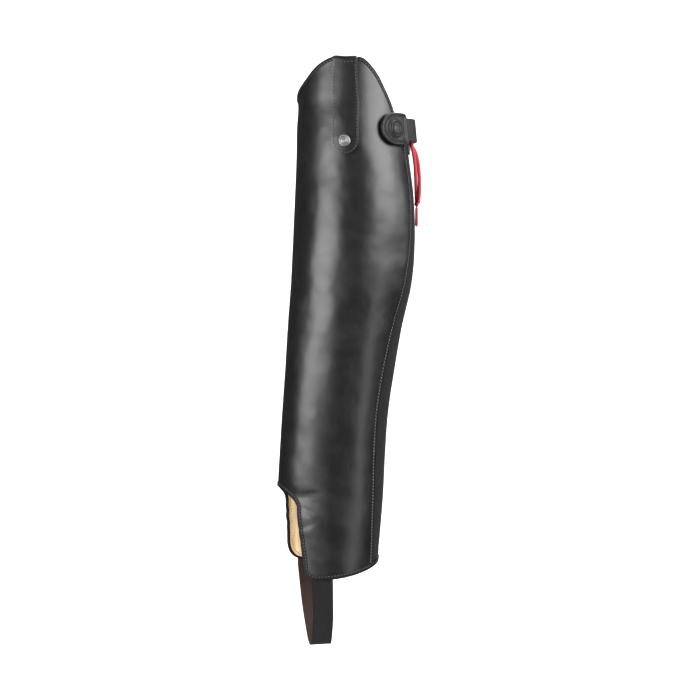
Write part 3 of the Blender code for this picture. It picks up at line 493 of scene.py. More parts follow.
upper_shares = [1 - (1 - j / UPPER_ROWS) ** CROWD_TO_TOP for j in range(UPPER_ROWS + 1)]
row_shares = [SPLIT_SHARE * j / ARCH_ROWS for j in range(ARCH_ROWS)]
row_shares += [SPLIT_SHARE + (1 - SPLIT_SHARE) * share for share in upper_shares]


def rear_line(angle_at):
    """A rear edge as (angle, height) points, one for each row, where angle_at gives its angle."""
    low, high = hem_height(angle_at(HEM_BACK)), top_height(angle_at(REAR_TOP))
    heights = [low + (high - low) * share for share in row_shares]
    return [(angle_at(height), height) for height in heights]


def half_panel(arch, rear, mirrored):
    """Rows of (angle, height) points of one half of the leather, from its rear edge to the shin."""
    def turned(angle):
        return 360 - angle if mirrored else angle

    if mirrored:
        rear = [(-angle, height) for angle, height in rear]
    front = spread(arch_line(arch), ARCH_ROWS, CROWD_TO_ARCH)
    shin_low, shin_high = front[-1][1], top_height(180)
    front += [(180.0, shin_low + (shin_high - shin_low) * share) for share in upper_shares[1:]]
    bottom = spread(hem_line(arch, rear[0][0]), SIDE_COLUMNS)
    top_angles = [rear[-1][0] + (180 - rear[-1][0]) * k / TOP_STEPS for k in range(TOP_STEPS + 1)]
    top = spread([(angle, top_height(turned(angle))) for angle in top_angles], SIDE_COLUMNS)
    rows = []
    for j, (start, end) in enumerate(zip(rear, front)):
        toward_hem = max(0.0, 1 - j / ARCH_ROWS) ** 2
        toward_top = upper_shares[max(j - ARCH_ROWS, 0)]
        row = []
        for i in range(SIDE_COLUMNS + 1):
            share = i / SIDE_COLUMNS
            point = []
            for k in range(2):
                value = start[k] + share * (end[k] - start[k])
                for weight, edge in ((toward_hem, bottom), (toward_top, top)):
                    chord = edge[0][k] + share * (edge[-1][k] - edge[0][k])
                    value += weight * (edge[i][k] - chord)
                point.append(value)
            row.append((turned(point[0]), point[1]))
        rows.append(row)
    return rows


def zip_side(height):
    """The angle at which leather or elastic meets the zip's tape."""
    return rear_angle(TAPE_START + TAPE_WIDTH + 2 * GAP, height)


panel_halves = (
    half_panel(OUTER_ARCH, rear_line(seam_angle), False),
    half_panel(INNER_ARCH, rear_line(lambda height: -zip_side(height)), True),
)


def thicken(piece, thickness, offset):
    solid = piece.modifiers.new("thickness", "SOLIDIFY")
    solid.thickness, solid.offset = thickness, offset
    return solid


def round_edges(piece, width, segments=2):
    bevel = piece.modifiers.new("round_edges", "BEVEL")
    bevel.width, bevel.segments = width, segments
    bevel.limit_method, bevel.angle_limit = "ANGLE", math.radians(50)


cut_edges = [(angle, top_height(angle)) for angle in range(0, 360, 1)]
cut_edges += hem_line(OUTER_ARCH, 0.0) + arch_line(OUTER_ARCH)
inner_edges = hem_line(INNER_ARCH, 0.0) + arch_line(INNER_ARCH)
cut_edges += [(360 - angle, height) for angle, height in inner_edges]
edge_finder = KDTree(len(cut_edges))
for number, (angle, height) in enumerate(cut_edges):
    edge_finder.insert(leg_point(angle, height), number)
edge_finder.balance()


def skived(point, at_edge, full):
    """A thickness at one point: leather and lining are pared thin toward the cut edges."""
    share = smooth_step(edge_finder.find(point)[2] / SKIVED_BAND)
    return at_edge + (full - at_edge) * share


def leather_sheet(name, faces_in, material):
    """The leather's shape as a closed wall; faces_in gives how far in its two faces lie."""
    points, faces, index = [], [], {}
    for side, rows in enumerate(panel_halves):
        for j, row in enumerate(rows):
            for i, (angle, height) in enumerate(row):
                if side == 1 and i == SIDE_COLUMNS and j >= ARCH_ROWS:
                    index[side, i, j] = index[0, i, j]
                    continue
                index[side, i, j] = len(points)
                points.append((smooth_point(angle, height), leg_normal(angle, height)))
        for j in range(len(rows) - 1):
            for i in range(SIDE_COLUMNS):
                low, high = index[side, i + 1, j], index[side, i, j + 1]
                near, far = index[side, i, j], index[side, i + 1, j + 1]
                faces.append([low, far, high, near] if side == 1 else [low, near, high, far])
    walls = [[here - faces_in(here)[k] * normal for here, normal in points] for k in range(2)]
    count = len(points)
    used = dict.fromkeys((a, b) for face in faces for a, b in zip(face, face[1:] + face[:1]))
    rim = [[b, a, a + count, b + count] for a, b in used if (b, a) not in used]
    inner = [[corner + count for corner in reversed(face)] for face in faces]
    return new_piece(name, walls[0] + walls[1], faces + inner + rim, [material])


def smooth_leather(name, dark, light, roughness, grain=1.0, relief=0.6, gloss=0.5):
    """Waxed black cowhide: fine pores, a soft mottle, faint scuffs and creases."""
    def pattern(place):
        mottle = place.noise(34, 3, 0.55)
        cloud = place.noise(110, 4, 0.6)
        cells = place.add("ShaderNodeTexVoronoi", {}, {"Vector": place, "Scale": 2100.0})
        pores = cells.between(0.05, 0.5)
        pebble = place.noise(1300, 4, 0.6)
        scuff = place.stretched((1.0, 1.0, 0.35)).noise(240, 3, 0.65).between(0.62, 0.78)
        tone = mottle * 0.55 + cloud * 0.45
        fine = pores * 0.020 + pebble * 0.048 + scuff * 0.020
        worked = place.noise(24, 1, 0.4) * 5.0 + place.noise(55, 1, 0.4) * 1.1 + cloud * 0.14
        colour = tone.between(0.3, 0.7).blend(dark, light)
        return {
            "Base Color": (scuff * 0.35).blend(colour, (0.03, 0.03, 0.03)),
            "Roughness": roughness + 0.22 * (tone - 0.5) + 0.06 * (pebble - 0.5) + 0.08 * scuff,
            "Normal": (fine * grain + worked * relief).bump(0.001),
        }

    return new_finish(
        name, pattern, Coat_Roughness=0.28, Specular_IOR_Level=gloss, Coat_Weight=0.2 * gloss
    )


black_leather = smooth_leather(
    "black_leather", (0.0030, 0.0030, 0.0033), (0.0070, 0.0070, 0.0076), 0.345
)
leg_leather = leather_sheet(
    "leg_leather", lambda here: (0.0, skived(here, EDGE_LEATHER, LEATHER)), black_leather
)
fasten(leg_leather, "black_leather", "leg_panel")


# ---- The lining ----------------------------------------------------------------------
# Natural tan leather lines the whole panel, glued and sewn in at the edges. It shows inside
# the top and through the arch over the instep, where walking has left upright creases.
def tan_pattern(place):
    streaks = place.stretched((1.0, 1.0, 0.09)).noise(210, 3, 0.6)
    creases_and_shade = place.stretched((1.0, 1.0, 0.12)).noise(620, 2, 0.5)
    grain = place.noise(1400, 3)
    colour = streaks.between(0.32, 0.68).blend((0.60, 0.41, 0.21), (0.90, 0.72, 0.47))
    return {
        # The lining is painted darker brown along its creases: painted shade in them.
        "Base Color": (creases_and_shade.between(0.55, 0.75) * 0.45).blend(colour, (0.42, 0.26, 0.12)),
        "Roughness": 0.58 + 0.15 * grain,
        "Normal": (streaks * 1.6 + creases_and_shade * 0.8 + grain * 0.25).bump(0.0004),
    }


lining = leather_sheet("tan_lining", lambda here: (
    skived(here, EDGE_LEATHER + EDGE_GAP, LEATHER + GAP),
    skived(here, EDGE_LEATHER + EDGE_GAP + EDGE_LINING, WALL),
), new_finish("tan_leather", tan_pattern, Specular_IOR_Level=0.35))
fasten(lining, "tan_lining", "lining")


# ---- The stretch panel ---------------------------------------------------------------
# A strip of ribbed black elastic lets the calf in beside the zip. It is sewn under the
# leather's turned edge down the rear seam, and to the zip's outer tape.
ELASTIC_OUT = -0.0004


def ribbed_black(name, rib, cross, colour, pale, roughness=0.82):
    """Woven elastic or tape: ribs along it with finer threads across, each a soft ridge, painted paler
    on its crest and darker between, as painted light and shade.
    """
    def pattern(place):
        along = place.add("ShaderNodeTexCoord", out=2)
        ribs, threads = (
            (along.add("ShaderNodeSeparateXYZ", {}, {0: along}, k) * (math.pi / width))
            .math("SINE").math("ABSOLUTE") for k, width in enumerate((rib, cross))
        )
        fuzz = place.noise(2600, 3)
        weave = ribs * 0.75 + threads * 0.35
        return {
            # The ribs' crests are painted paler and the grooves darker: painted light and shade; fuzz
            # adds random tone.
            "Base Color": (weave * 0.7 + fuzz * 0.5 - 0.2).blend(colour, pale),
            "Roughness": roughness + 0.1 * (fuzz - 0.5),
            "Normal": (weave + fuzz * 0.3).bump(0.00022, 0.9),
        }

    return new_finish(name, pattern, Sheen_Weight=0.03, Specular_IOR_Level=0.2)


def woven_rows(name, rows, materials, corners=((0, 0), (1, 0), (1, 1), (0, 1))):
    """A sheet through rows of (point, uv) pairs; corners go round each face, as (row, column)."""
    wide = len(rows[0])
    faces = [
        [start + row * wide + column for row, column in corners]
        for j in range(len(rows) - 1) for start in range(j * wide, (j + 1) * wide - 1)
    ]
    points, uvs = zip(*(pair for row in rows for pair in row))
    return new_piece(name, points, faces, materials, uvs)


def strip_between(name, first, second, columns, out, thickness, material):
    """A wall strip between two edges with one (angle, height) point for each row."""
    rows, run = [], 0.0
    for j, ((a0, z0), (a1, z1)) in enumerate(zip(first, second)):
        run += abs(z0 - first[max(j - 1, 0)][1])
        row = []
        for i in range(columns + 1):
            angle, height = a0 + i / columns * (a1 - a0), z0 + i / columns * (z1 - z0)
            row.append((leg_point(angle, height, out), (angle * METRES_PER_DEGREE, run)))
        rows.append(row)
    piece = woven_rows(name, rows, [material])
    thicken(piece, thickness, -1)
    return piece


def beside_seam(height, inset):
    """The angle of a line that keeps a distance from the rear seam, on the leather's side."""
    angle = seam_angle(height)
    return angle + inset * degrees_per_metre(angle, height)


ribbed_elastic = ribbed_black(
    "ribbed_elastic", 0.0011, 0.0006, (0.0022, 0.0022, 0.0024), (0.0075, 0.0075, 0.0078)
)
stretch_panel = strip_between(
    "stretch_elastic", rear_line(zip_side), rear_line(lambda height: beside_seam(height, GAP)),
    14, ELASTIC_OUT, ELASTIC, ribbed_elastic,
)
fasten(stretch_panel, "black_elastic", "stretch_panel")


# ---- The zip -------------------------------------------------------------------------
# Two woven tapes carry moulded teeth that lock into one chain up the back of the calf, with
# a box at the foot and a dark metal slider at the top, under the closure strap.
CHAIN_TOP, CHAIN_OUT, CHAIN_THICK = 0.0800, 0.0004, 0.0022
BOX_LENGTH, TOOTH_PITCH = 0.0100, 0.0026
TOOTH_FOOT, TOOTH_HEAD = (0.0016, 0.0020, 0.0022), (0.0010, 0.0022, 0.0016)
FOOT_FROM_MIDDLE, HEAD_FROM_FOOT = 0.0019, 0.0013
TAPE, TAPE_OUT = 0.0010, -0.0008
TAPE_UNDER_TEETH, SEWN_UNDER = 0.00003, 0.0010

tape_finish = ribbed_black(
    "zip_tape_weave", 0.00055, 0.0009, (0.006, 0.006, 0.007), (0.020, 0.020, 0.021), 0.85
)
for side_name, turn in (("outer", 1), ("inner", -1)):
    edges = [
        rear_line(lambda height: turn * rear_angle(side, height))
        for side in (TAPE_UNDER_TEETH, TAPE_START + TAPE_WIDTH + SEWN_UNDER)
    ]
    tape = strip_between(f"woven_tape_{side_name}", *edges[::turn], 8, TAPE_OUT, TAPE, tape_finish)
    fasten(tape, "zip_tape", f"zip_tape_{side_name}")


def repeat_tree(name, inputs, shape):
    """Copies of a small shape at even steps along guide lines, turned along them and up."""
    tree = bpy.data.node_groups.new(name, "GeometryNodeTree")
    tree.interface.new_socket("Geometry", in_out="OUTPUT", socket_type="NodeSocketGeometry")
    kinds = {"Lines": "Geometry", "Pitch": "Float", "Finish": "Material"}
    kinds.update(dict.fromkeys(inputs, "Vector"))
    labels = {}
    for label, kind in kinds.items():
        socket = tree.interface.new_socket(label, in_out="INPUT", socket_type=f"NodeSocket{kind}")
        labels[label] = socket.identifier
    start = tree.nodes.new("NodeGroupInput")
    given = {label: Socket(tree, start.outputs[label]) for label in kinds}
    steps = Socket(tree)
    lines = steps.add("GeometryNodeMeshToCurve", {}, {0: given["Lines"]})
    spaced = steps.add(
        "GeometryNodeResampleCurve", {"mode": "LENGTH"}, {"Curve": lines, "Length": given["Pitch"]}
    )
    up = steps.add("GeometryNodeInputNamedAttribute", {"data_type": "FLOAT_VECTOR"}, {"Name": "up"})
    tangent = steps.add("GeometryNodeInputTangent")
    along = steps.add("FunctionNodeAlignRotationToVector", {"axis": "X"}, {"Vector": tangent})
    upright = steps.add(
        "FunctionNodeAlignRotationToVector", {"axis": "Z", "pivot_axis": "X"},
        {"Rotation": along, "Vector": up},
    )
    copies = {"Points": spaced, "Instance": shape(steps, given), "Rotation": upright}
    placed = steps.add("GeometryNodeInstanceOnPoints", {}, copies)
    real = steps.add("GeometryNodeRealizeInstances", {}, {0: placed})
    dressed = steps.add("GeometryNodeSetMaterial", {}, {0: real, "Material": given["Finish"]})
    tree.links.new(dressed.output, tree.nodes.new("NodeGroupOutput").inputs[0])
    return tree, labels


def run_repeat(name, repeat, lines, values):
    """The copies on lines of (point, normal) pairs, as one plain piece."""
    tree, labels = repeat
    edges, start = [], 0
    for line in lines:
        edges += [(start + k, start + k + 1) for k in range(len(line) - 1)]
        start += len(line)
    mesh = bpy.data.meshes.new("guide")
    mesh.from_pydata([tuple(point) for line in lines for point, normal in line], edges, [])
    ups = [part for line in lines for point, normal in line for part in normal]
    mesh.attributes.new("up", "FLOAT_VECTOR", "POINT").data.foreach_set("vector", ups)
    guide = bpy.data.objects.new("guide", mesh)
    bpy.context.scene.collection.objects.link(guide)
    modifier = guide.modifiers.new("repeat", "NODES")
    modifier.node_group = tree
    for label, value in values.items():
        modifier[labels[label]] = value
    mesh.update()
    bpy.context.view_layer.update()
    ready = guide.evaluated_get(bpy.context.evaluated_depsgraph_get())
    piece = bpy.data.objects.new(name, bpy.data.meshes.new_from_object(ready))
    bpy.data.objects.remove(guide)
    bpy.context.scene.collection.objects.link(piece)
    return piece


def tooth_shape(steps, given):
    """A tooth with its head pushed across the middle and its foot clamped on the tape."""
    foot = steps.add("GeometryNodeMeshCube", {}, {"Size": given["Foot"]})
    head = steps.add("GeometryNodeMeshCube", {}, {"Size": given["Head"]})
    place = {"Geometry": head, "Translation": given["Head place"]}
    moved = steps.add("GeometryNodeTransform", {}, place)
    both = steps.tree.nodes.new("GeometryNodeJoinGeometry")
    for part in (foot, moved):
        steps.tree.links.new(part.output, both.inputs[0])
    return Socket(steps.tree, both.outputs[0])


def zip_metal_pattern(place):
    wear = place.noise(700, 4).between(0.5, 0.75)
    scratches = place.stretched((1.0, 1.0, 0.12)).noise(2600, 2)
    return {
        "Base Color": (wear * 0.6).blend((0.045, 0.046, 0.050), (0.16, 0.16, 0.165)),
        "Roughness": 0.26 + 0.18 * scratches,
        "Normal": (scratches + wear * 0.3).bump(0.00004),
    }


def moulded_black(name, colour, pale, roughness, bump=0.00006, gloss=0.45):
    """Moulded black plastic or rubber: a faint matt texture, paler where it is handled."""
    def pattern(place):
        texture = place.noise(2400, 3)
        handled = place.noise(130, 3).between(0.4, 0.75)
        return {
            "Base Color": (handled * 0.6 + texture * 0.3).blend(colour, pale),
            "Roughness": roughness + 0.14 * (texture - 0.5) - 0.08 * handled,
            "Normal": texture.bump(bump),
        }

    return new_finish(name, pattern, Specular_IOR_Level=gloss)


slider_metal = new_finish("dark_zip_metal", zip_metal_pattern, Metallic=0.9)
tooth_finish = moulded_black("zip_teeth_black", (0.008, 0.008, 0.009), (0.024, 0.024, 0.025), 0.38)
teeth = repeat_tree("zip_teeth", ("Foot", "Head", "Head place"), tooth_shape)
chain_low = hem_height(0) + BOX_LENGTH + GAP
for side_name, turn in (("outer", 1), ("inner", -1)):
    first = chain_low + (TOOTH_PITCH if turn > 0 else TOOTH_PITCH / 2)
    line = []
    for k in range(121):
        height = first + (CHAIN_TOP - TOOTH_PITCH - first) * k / 120
        angle = turn * rear_angle(FOOT_FROM_MIDDLE, height)
        line.append((leg_point(angle, height, CHAIN_OUT - CHAIN_THICK / 2), leg_normal(angle, height)))
    row = run_repeat(f"teeth_{side_name}", teeth, [line], {
        "Pitch": TOOTH_PITCH, "Finish": tooth_finish, "Foot": TOOTH_FOOT, "Head": TOOTH_HEAD,
        "Head place": (0.0, -turn * HEAD_FROM_FOOT, 0.0),
    })
    round_edges(row, 0.0002)
    fasten(row, "zip_metal", "zip_chain")
for node in ("zip_box", "zip_slider"):
    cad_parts[node].material_slots[0].material = slider_metal


# ---- The bindings --------------------------------------------------------------------
# A folded strip of thin leather covers the cut edges round the hem, the arch and the top. It
# is laid over both layers and sewn through, close to its inner side.
BINDING_OVER, BINDING_SKIN = 0.0001, 0.0005
BINDING_INNER_LEG, BINDING_ROUND = 0.0010, 0.0006
BINDING_LEGS = {"hem_binding": 0.0031, "top_binding_back": 0.0024, "top_binding_front": 0.0024}
STRAP_ANGLE, STRAP_HALF_TOP = 109.5, 0.0104
bound_leather = smooth_leather(
    "bound_leather", (0.003, 0.003, 0.0033), (0.009, 0.009, 0.0095), 0.50, 1.3, 0.2, gloss=0.18
)


def edge_frames(path):
    """A bound edge's points, the way out of the leather in its own face, and the normal."""
    places = [leg_point(angle, height) for angle, height in path]
    frames = []
    for k, (angle, height) in enumerate(path):
        normal = leg_normal(angle, height)
        along = places[min(k + 1, len(path) - 1)] - places[max(k - 1, 0)]
        frames.append((places[k], along.cross(normal).normalized(), normal))
    return frames


def binding_ring(here, away, normal, leg):
    """The binding's folded section, with a crowned outer leg and a rounded edge."""
    inner = -EDGE_LEATHER - EDGE_GAP - EDGE_LINING - BINDING_OVER
    low, high = inner - BINDING_SKIN, BINDING_OVER + BINDING_SKIN
    profile = [(-leg, BINDING_OVER), (-leg, high - 0.0003), (-leg + 0.0003, high - 0.0001)]
    profile += [(-0.6 * leg, high - 0.00012), (-0.3 * leg, high)]
    outer_turns, inner_turns = (75, 50, 25, 0), (0, -25, -50, -75)
    for middle, turns in ((high - BINDING_ROUND, outer_turns), (low + BINDING_ROUND, inner_turns)):
        for turn in map(math.radians, turns):
            across = BINDING_REACH - BINDING_ROUND + BINDING_ROUND * math.cos(turn)
            profile.append((across, middle + BINDING_ROUND * math.sin(turn)))
    profile += [(-BINDING_INNER_LEG, low), (-BINDING_INNER_LEG, inner)]
    profile += [(BINDING_OVER, inner), (BINDING_OVER, BINDING_OVER)]
    return [here + away * across + normal * out for across, out in profile]


outer_rear, inner_rear = panel_halves[0][0][0][0], 360 - panel_halves[1][0][0][0]
zip_edge = rear_angle(TAPE_START, HEM_BACK)
hem_path = [(angle, hem_height(angle)) for angle in between(zip_edge, outer_rear, 12)]
hem_path += hem_line(OUTER_ARCH, outer_rear) + arch_line(OUTER_ARCH)[1:]
inner_side = hem_line(INNER_ARCH, inner_rear) + arch_line(INNER_ARCH)[1:-1]
hem_path += [(360 - angle, height) for angle, height in reversed(inner_side)]
inner_angles = between(inner_rear, zip_edge, 4)[1:] + [zip_edge]
hem_path += [(360 - angle, hem_height(-angle)) for angle in inner_angles]

strap_half = (STRAP_HALF_TOP + 2 * GAP) * degrees_per_metre(STRAP_ANGLE, top_height(STRAP_ANGLE))
zip_edge = rear_angle(TAPE_START, REAR_TOP)
back_angles = between(zip_edge, STRAP_ANGLE - strap_half, 90) + [STRAP_ANGLE - strap_half]
front_angles = between(STRAP_ANGLE + strap_half, 360 - zip_edge, 200) + [360 - zip_edge]
bound_edges = {"hem_binding": edge_frames(hem_path[::-1])}
for node, angles in (("top_binding_back", back_angles), ("top_binding_front", front_angles)):
    bound_edges[node] = edge_frames([(angle, top_height(angle)) for angle in angles])
for node, frames in bound_edges.items():
    rings = [binding_ring(*edge, BINDING_LEGS[node]) for edge in frames]
    binding = through_rings(node.replace("binding", "bound_edge"), rings, [bound_leather])
    fasten(binding, "black_leather", node)


# ---- The strap over the top edge -----------------------------------------------------
# A tapered leather strap with a round end lies on the outer side, folds over the top edge and
# is sewn down round its outline. A metal snap in its end holds a cover or a garter.
STRAP_END, STRAP_HALF_LOW, STRAP = 0.0620, 0.0117, 0.0015
STRAP_LEAN, STRAP_WIDENS, STRAP_COLUMNS = 35, 0.5, 16
SNAP_ANGLE, SNAP_HEIGHT, SNAP_RADIUS = 112.5, 0.0740, 0.0054
# From the snap's rim over its rings to its middle: a share of its radius, and a height
SNAP_PROFILE = (
    (0.02, 0.0), (0.98, 0.0), (1.00, 0.0004), (0.99, 0.0009), (0.94, 0.0014), (0.87, 0.0017),
    (0.80, 0.00165), (0.75, 0.0013), (0.70, 0.0010), (0.66, 0.0010), (0.62, 0.0014), (0.56, 0.0016),
    (0.50, 0.0015), (0.45, 0.0011), (0.40, 0.0010), (0.34, 0.0010), (0.30, 0.0015), (0.24, 0.0018),
    (0.16, 0.00188), (0.02, 0.0019),
)
strap_top = top_height(STRAP_ANGLE)
strap_low = STRAP_END - strap_top
strap_round = strap_low + STRAP_HALF_LOW


def strap_half_width(over):
    widened = smooth_step(over / (STRAP_WIDENS * strap_low))
    half = STRAP_HALF_TOP + (STRAP_HALF_LOW - STRAP_HALF_TOP) * widened
    drop = max(0.0, strap_round - over)
    return half * math.sqrt(max(1 - (drop / STRAP_HALF_LOW) ** 2, 0.0))


def strap_point(across, over, out):
    """A point of the strap: a distance from its middle, and from the top edge (below 0)."""
    over_down = min(over, 0.0)
    angle = STRAP_ANGLE - STRAP_LEAN * over_down
    angle += across * degrees_per_metre(STRAP_ANGLE, strap_top + over_down)
    return leg_point(angle, top_height(angle) + over, out)


def make_top_strap():
    """Rows from the round end up the outside, over the top edge and down the inside."""
    inside = -WALL - 2 * GAP
    path = [(strap_low + STRAP_HALF_LOW * (1 - math.cos(math.radians(t))), GAP) for t in range(6, 91, 6)]
    path += [(strap_round * (1 - k / 40), GAP) for k in range(1, 40)]
    path += [(0.0, GAP), (GAP * 0.7, GAP * 0.7), (GAP, 0.0)]
    path += [(GAP, -WALL * k / 3) for k in (1, 2)] + [(GAP, -WALL - GAP), (0.0, inside)]
    path += [(-0.0012 * k, inside) for k in range(1, 11)]
    rows = []
    for over, out in path:
        sides = [strap_half_width(over) * (2 * i / STRAP_COLUMNS - 1) for i in range(STRAP_COLUMNS + 1)]
        rows.append([(strap_point(across, over, out), (across, over)) for across in sides])
    piece = woven_rows("stitched_strap", rows, [black_leather])
    thicken(piece, STRAP, 1)
    round_edges(piece, 0.0005, 3)
    return piece


top_strap = fasten(make_top_strap(), "black_leather", "top_strap")


def leg_frame(angle, height, out):
    """A placement on the leg: its X axis points out of the leather, and its Z axis up the leg."""
    normal, up = leg_normal(angle, height), step_up(angle, height).normalized()
    turn = Matrix((normal, up.cross(normal), up)).transposed().to_4x4()
    return Matrix.Translation(leg_point(angle, height, out)) @ turn


def turned_button(name, profile, radius, material, place):
    """A turned button from (share of its radius, height) points."""
    rings = [
        [place @ Vector((height, share * radius * math.cos(t), share * radius * math.sin(t)))
         for t in full_turn(64)]
        for share, height in profile
    ]
    return through_rings(name, rings, [material])


def snap_pattern(place):
    worn = place.noise(900, 4).between(0.35, 0.75)
    fine = place.noise(4200, 3)
    return {
        "Base Color": worn.blend((0.36, 0.355, 0.35), (0.20, 0.195, 0.19)),
        "Roughness": 0.36 + 0.18 * worn + 0.08 * fine,
        "Normal": (fine + worn).bump(0.00003),
    }


snap_metal = new_finish("brushed_snap_metal", snap_pattern, Metallic=1.0)
snap = turned_button(
    "metal_snap", SNAP_PROFILE, SNAP_RADIUS, snap_metal,
    leg_frame(SNAP_ANGLE, SNAP_HEIGHT, 2 * GAP + STRAP),
)
fasten(snap, "snap_metal", "top_snap")


# ---- The closure strap and its tab ---------------------------------------------------
# A leather strap from the inner side bridges the top of the zip and its slider. Its end is a
# moulded rubber tab with a raised rim, and a round rubber button closes it.
CLOSURE_LOW, CLOSURE_HIGH, CLOSURE = 0.0770, 0.0975, 0.0016
CLOSURE_FROM, CLOSURE_TO, CLOSURE_STEPS, CLOSURE_ROWS = -62, 50, 120, 10
CLOSURE_RISE, CLOSURE_TOP_RISE = 0.0078, 0.0084
CLOSURE_LATERAL_OUT = BINDING_REACH + GAP
BRIDGE_IN, BRIDGE_OUT = 8, 34
TAB_ANGLE, TAB_HEIGHT, TAB_SPOKES = 60, 0.0855, 120
TAB_RADIUS, TAB_LENGTH, TAB_CORNER = 0.0143, 0.0155, 0.0030
TAB, TAB_EXTRA = 0.0026, 0.0018
TAB_STEP_FROM, TAB_STEP_TO = 53, 63
TAB_OUT = CLOSURE + 2 * GAP
TAB_TOP, BOSS_RADIUS, BOSS_RISE, BOSS_STEPS = 0.0054, 0.0086, 0.0004, 10
# The tab's edge and rims from below: how far in from its outline, and how far out
TAB_RELIEF = (
    (0.0065, 0.0), (0.0030, 0.0), (0.0013, 0.0), (0.0012, 0.0003), (0.0010, 0.0009),
    (0.0003, TAB - 0.0010), (0.0, TAB - 0.0006), (0.0001, TAB - 0.0003), (0.0005, TAB + 0.0002),
    (0.0010, TAB + 0.0005), (0.0016, TAB + 0.0005), (0.0021, TAB + 0.0003), (0.0025, TAB - 0.0002),
    (0.0030, TAB - 0.0004), (0.0034, TAB - 0.0002), (0.0038, TAB + 0.0004), (0.0043, TAB + 0.0004),
)
BUTTON_RADIUS = 0.0074
BUTTON_PROFILE = (
    (0.02, 0.0), (0.90, 0.0), (1.0, 0.0002), (1.0, 0.0005), (0.97, 0.0009), (0.91, 0.0012),
    (0.85, 0.0012), (0.81, 0.0005), (0.76, 0.0003), (0.71, 0.0005), (0.67, 0.0012), (0.60, 0.0014),
    (0.52, 0.0012), (0.46, 0.0012), (0.38, 0.0015), (0.20, 0.0016), (0.02, 0.0016),
)


def closure_out(angle, height):
    """How far the strap's inner face stands off the leather: it bridges the zip."""
    resting = GAP if angle < 0 else CLOSURE_LATERAL_OUT
    rise = smooth_step((BRIDGE_OUT - abs(angle)) / (BRIDGE_OUT - BRIDGE_IN))
    up = (height - CLOSURE_LOW) / (CLOSURE_HIGH - CLOSURE_LOW)
    bridge = CLOSURE_RISE + (CLOSURE_TOP_RISE - CLOSURE_RISE) * up
    return resting + (bridge - resting) * rise


def make_closure_strap():
    rows = []
    for k in range(CLOSURE_STEPS + 1):
        angle = CLOSURE_FROM + (CLOSURE_TO - CLOSURE_FROM) * k / CLOSURE_STEPS
        rows.append([
            (leg_point(angle, height, closure_out(angle, height)), (angle * METRES_PER_DEGREE, height))
            for height in between(CLOSURE_LOW, CLOSURE_HIGH, CLOSURE_ROWS) + [CLOSURE_HIGH]
        ])
    # This copy of the black leather is painted paler than the rest, as painted light on the strap's
    # face.
    lit_strap_leather = smooth_leather(
        "strap_leather_painted_light", (0.014, 0.014, 0.0145), (0.026, 0.026, 0.0265), 0.48, 1.3, 0.3, gloss=0.35
    )
    piece = woven_rows("closure_leather", rows, [lit_strap_leather], ((0, 0), (0, 1), (1, 1), (1, 0)))
    thicken(piece, CLOSURE, 1)
    round_edges(piece, 0.0005, 3)
    return piece


closure_strap = fasten(make_closure_strap(), "black_leather", "closure_strap")


def tab_reach(turn):
    """From the tab's middle to its edge: a half circle, then a straight end with round corners."""
    across, up = math.cos(turn), math.sin(turn)
    if across >= 0:
        return TAB_RADIUS
    reach = min(TAB_RADIUS / max(abs(up), 1e-6), TAB_LENGTH / abs(across))
    corner = Vector((-TAB_LENGTH + TAB_CORNER, math.copysign(TAB_RADIUS - TAB_CORNER, up)))
    direction = Vector((across, up))
    along = corner.dot(direction)
    side = (corner - along * direction).length
    if side < TAB_CORNER and (reach * direction - corner).length > TAB_CORNER:
        edge = along + math.sqrt(TAB_CORNER**2 - side**2)
        past = abs(reach * direction.x) > abs(corner.x) and abs(reach * direction.y) > abs(corner.y)
        reach = edge if past else reach
    return reach


def tab_point(turn, reach, out):
    height = TAB_HEIGHT + reach * math.sin(turn)
    angle = TAB_ANGLE + reach * math.cos(turn) * degrees_per_metre(TAB_ANGLE, TAB_HEIGHT)
    on_strap = closure_out(angle, height) + TAB_OUT
    past_strap = smooth_step((angle - TAB_STEP_FROM) / (TAB_STEP_TO - TAB_STEP_FROM))
    floor = on_strap + (GAP - on_strap) * past_strap
    return leg_point(angle, height, floor + out + (TAB_EXTRA * past_strap if out > 0 else 0.0))


def make_tab():
    """Rings from the underside's middle round the edge to the boss: rim, groove, inner rim."""
    turns = full_turn(TAB_SPOKES)
    rings = [[tab_point(t, 0.1 * BOSS_RADIUS, 0.0) for t in turns]]
    rings += [[tab_point(t, tab_reach(t) - inset, out) for t in turns] for inset, out in TAB_RELIEF]
    for k in range(1, BOSS_STEPS + 1):
        ring = []
        for t in turns:
            start = tab_reach(t) - TAB_RELIEF[-1][0]
            reach = start + (BOSS_RADIUS + 0.0006 - start) * k / BOSS_STEPS
            ridge = math.exp(-(((reach * math.cos(t) + TAB_LENGTH - 0.0050) / 0.0006) ** 2))
            ring.append(tab_point(t, reach, TAB + 0.0003 - 0.0002 * k / BOSS_STEPS - 0.0007 * ridge))
        rings.append(ring)
    seat = leg_frame(TAB_ANGLE, TAB_HEIGHT, TAB_TOP + BOSS_RISE)
    for radius, down in (
        (BOSS_RADIUS + 0.0001, 0.0004), (BOSS_RADIUS - 0.0002, 0.0), (0.1 * BOSS_RADIUS, 0.0)
    ):
        ring = [(-down, -radius * math.cos(t), radius * math.sin(t)) for t in turns]
        rings.append([seat @ Vector(point) for point in ring])
    return through_rings("closure_cap", rings, [rubber])


rubber = moulded_black(
    "black_rubber", (0.007, 0.007, 0.0075), (0.017, 0.017, 0.0175), 0.50, 0.00008, 0.32
)
fasten(make_tab(), "black_rubber", "closure_tab")
button = turned_button(
    "closure_button", BUTTON_PROFILE, BUTTON_RADIUS, rubber,
    leg_frame(TAB_ANGLE, TAB_HEIGHT, TAB_TOP + BOSS_RISE + GAP),
)
fasten(button, "black_rubber", "closure_stud")


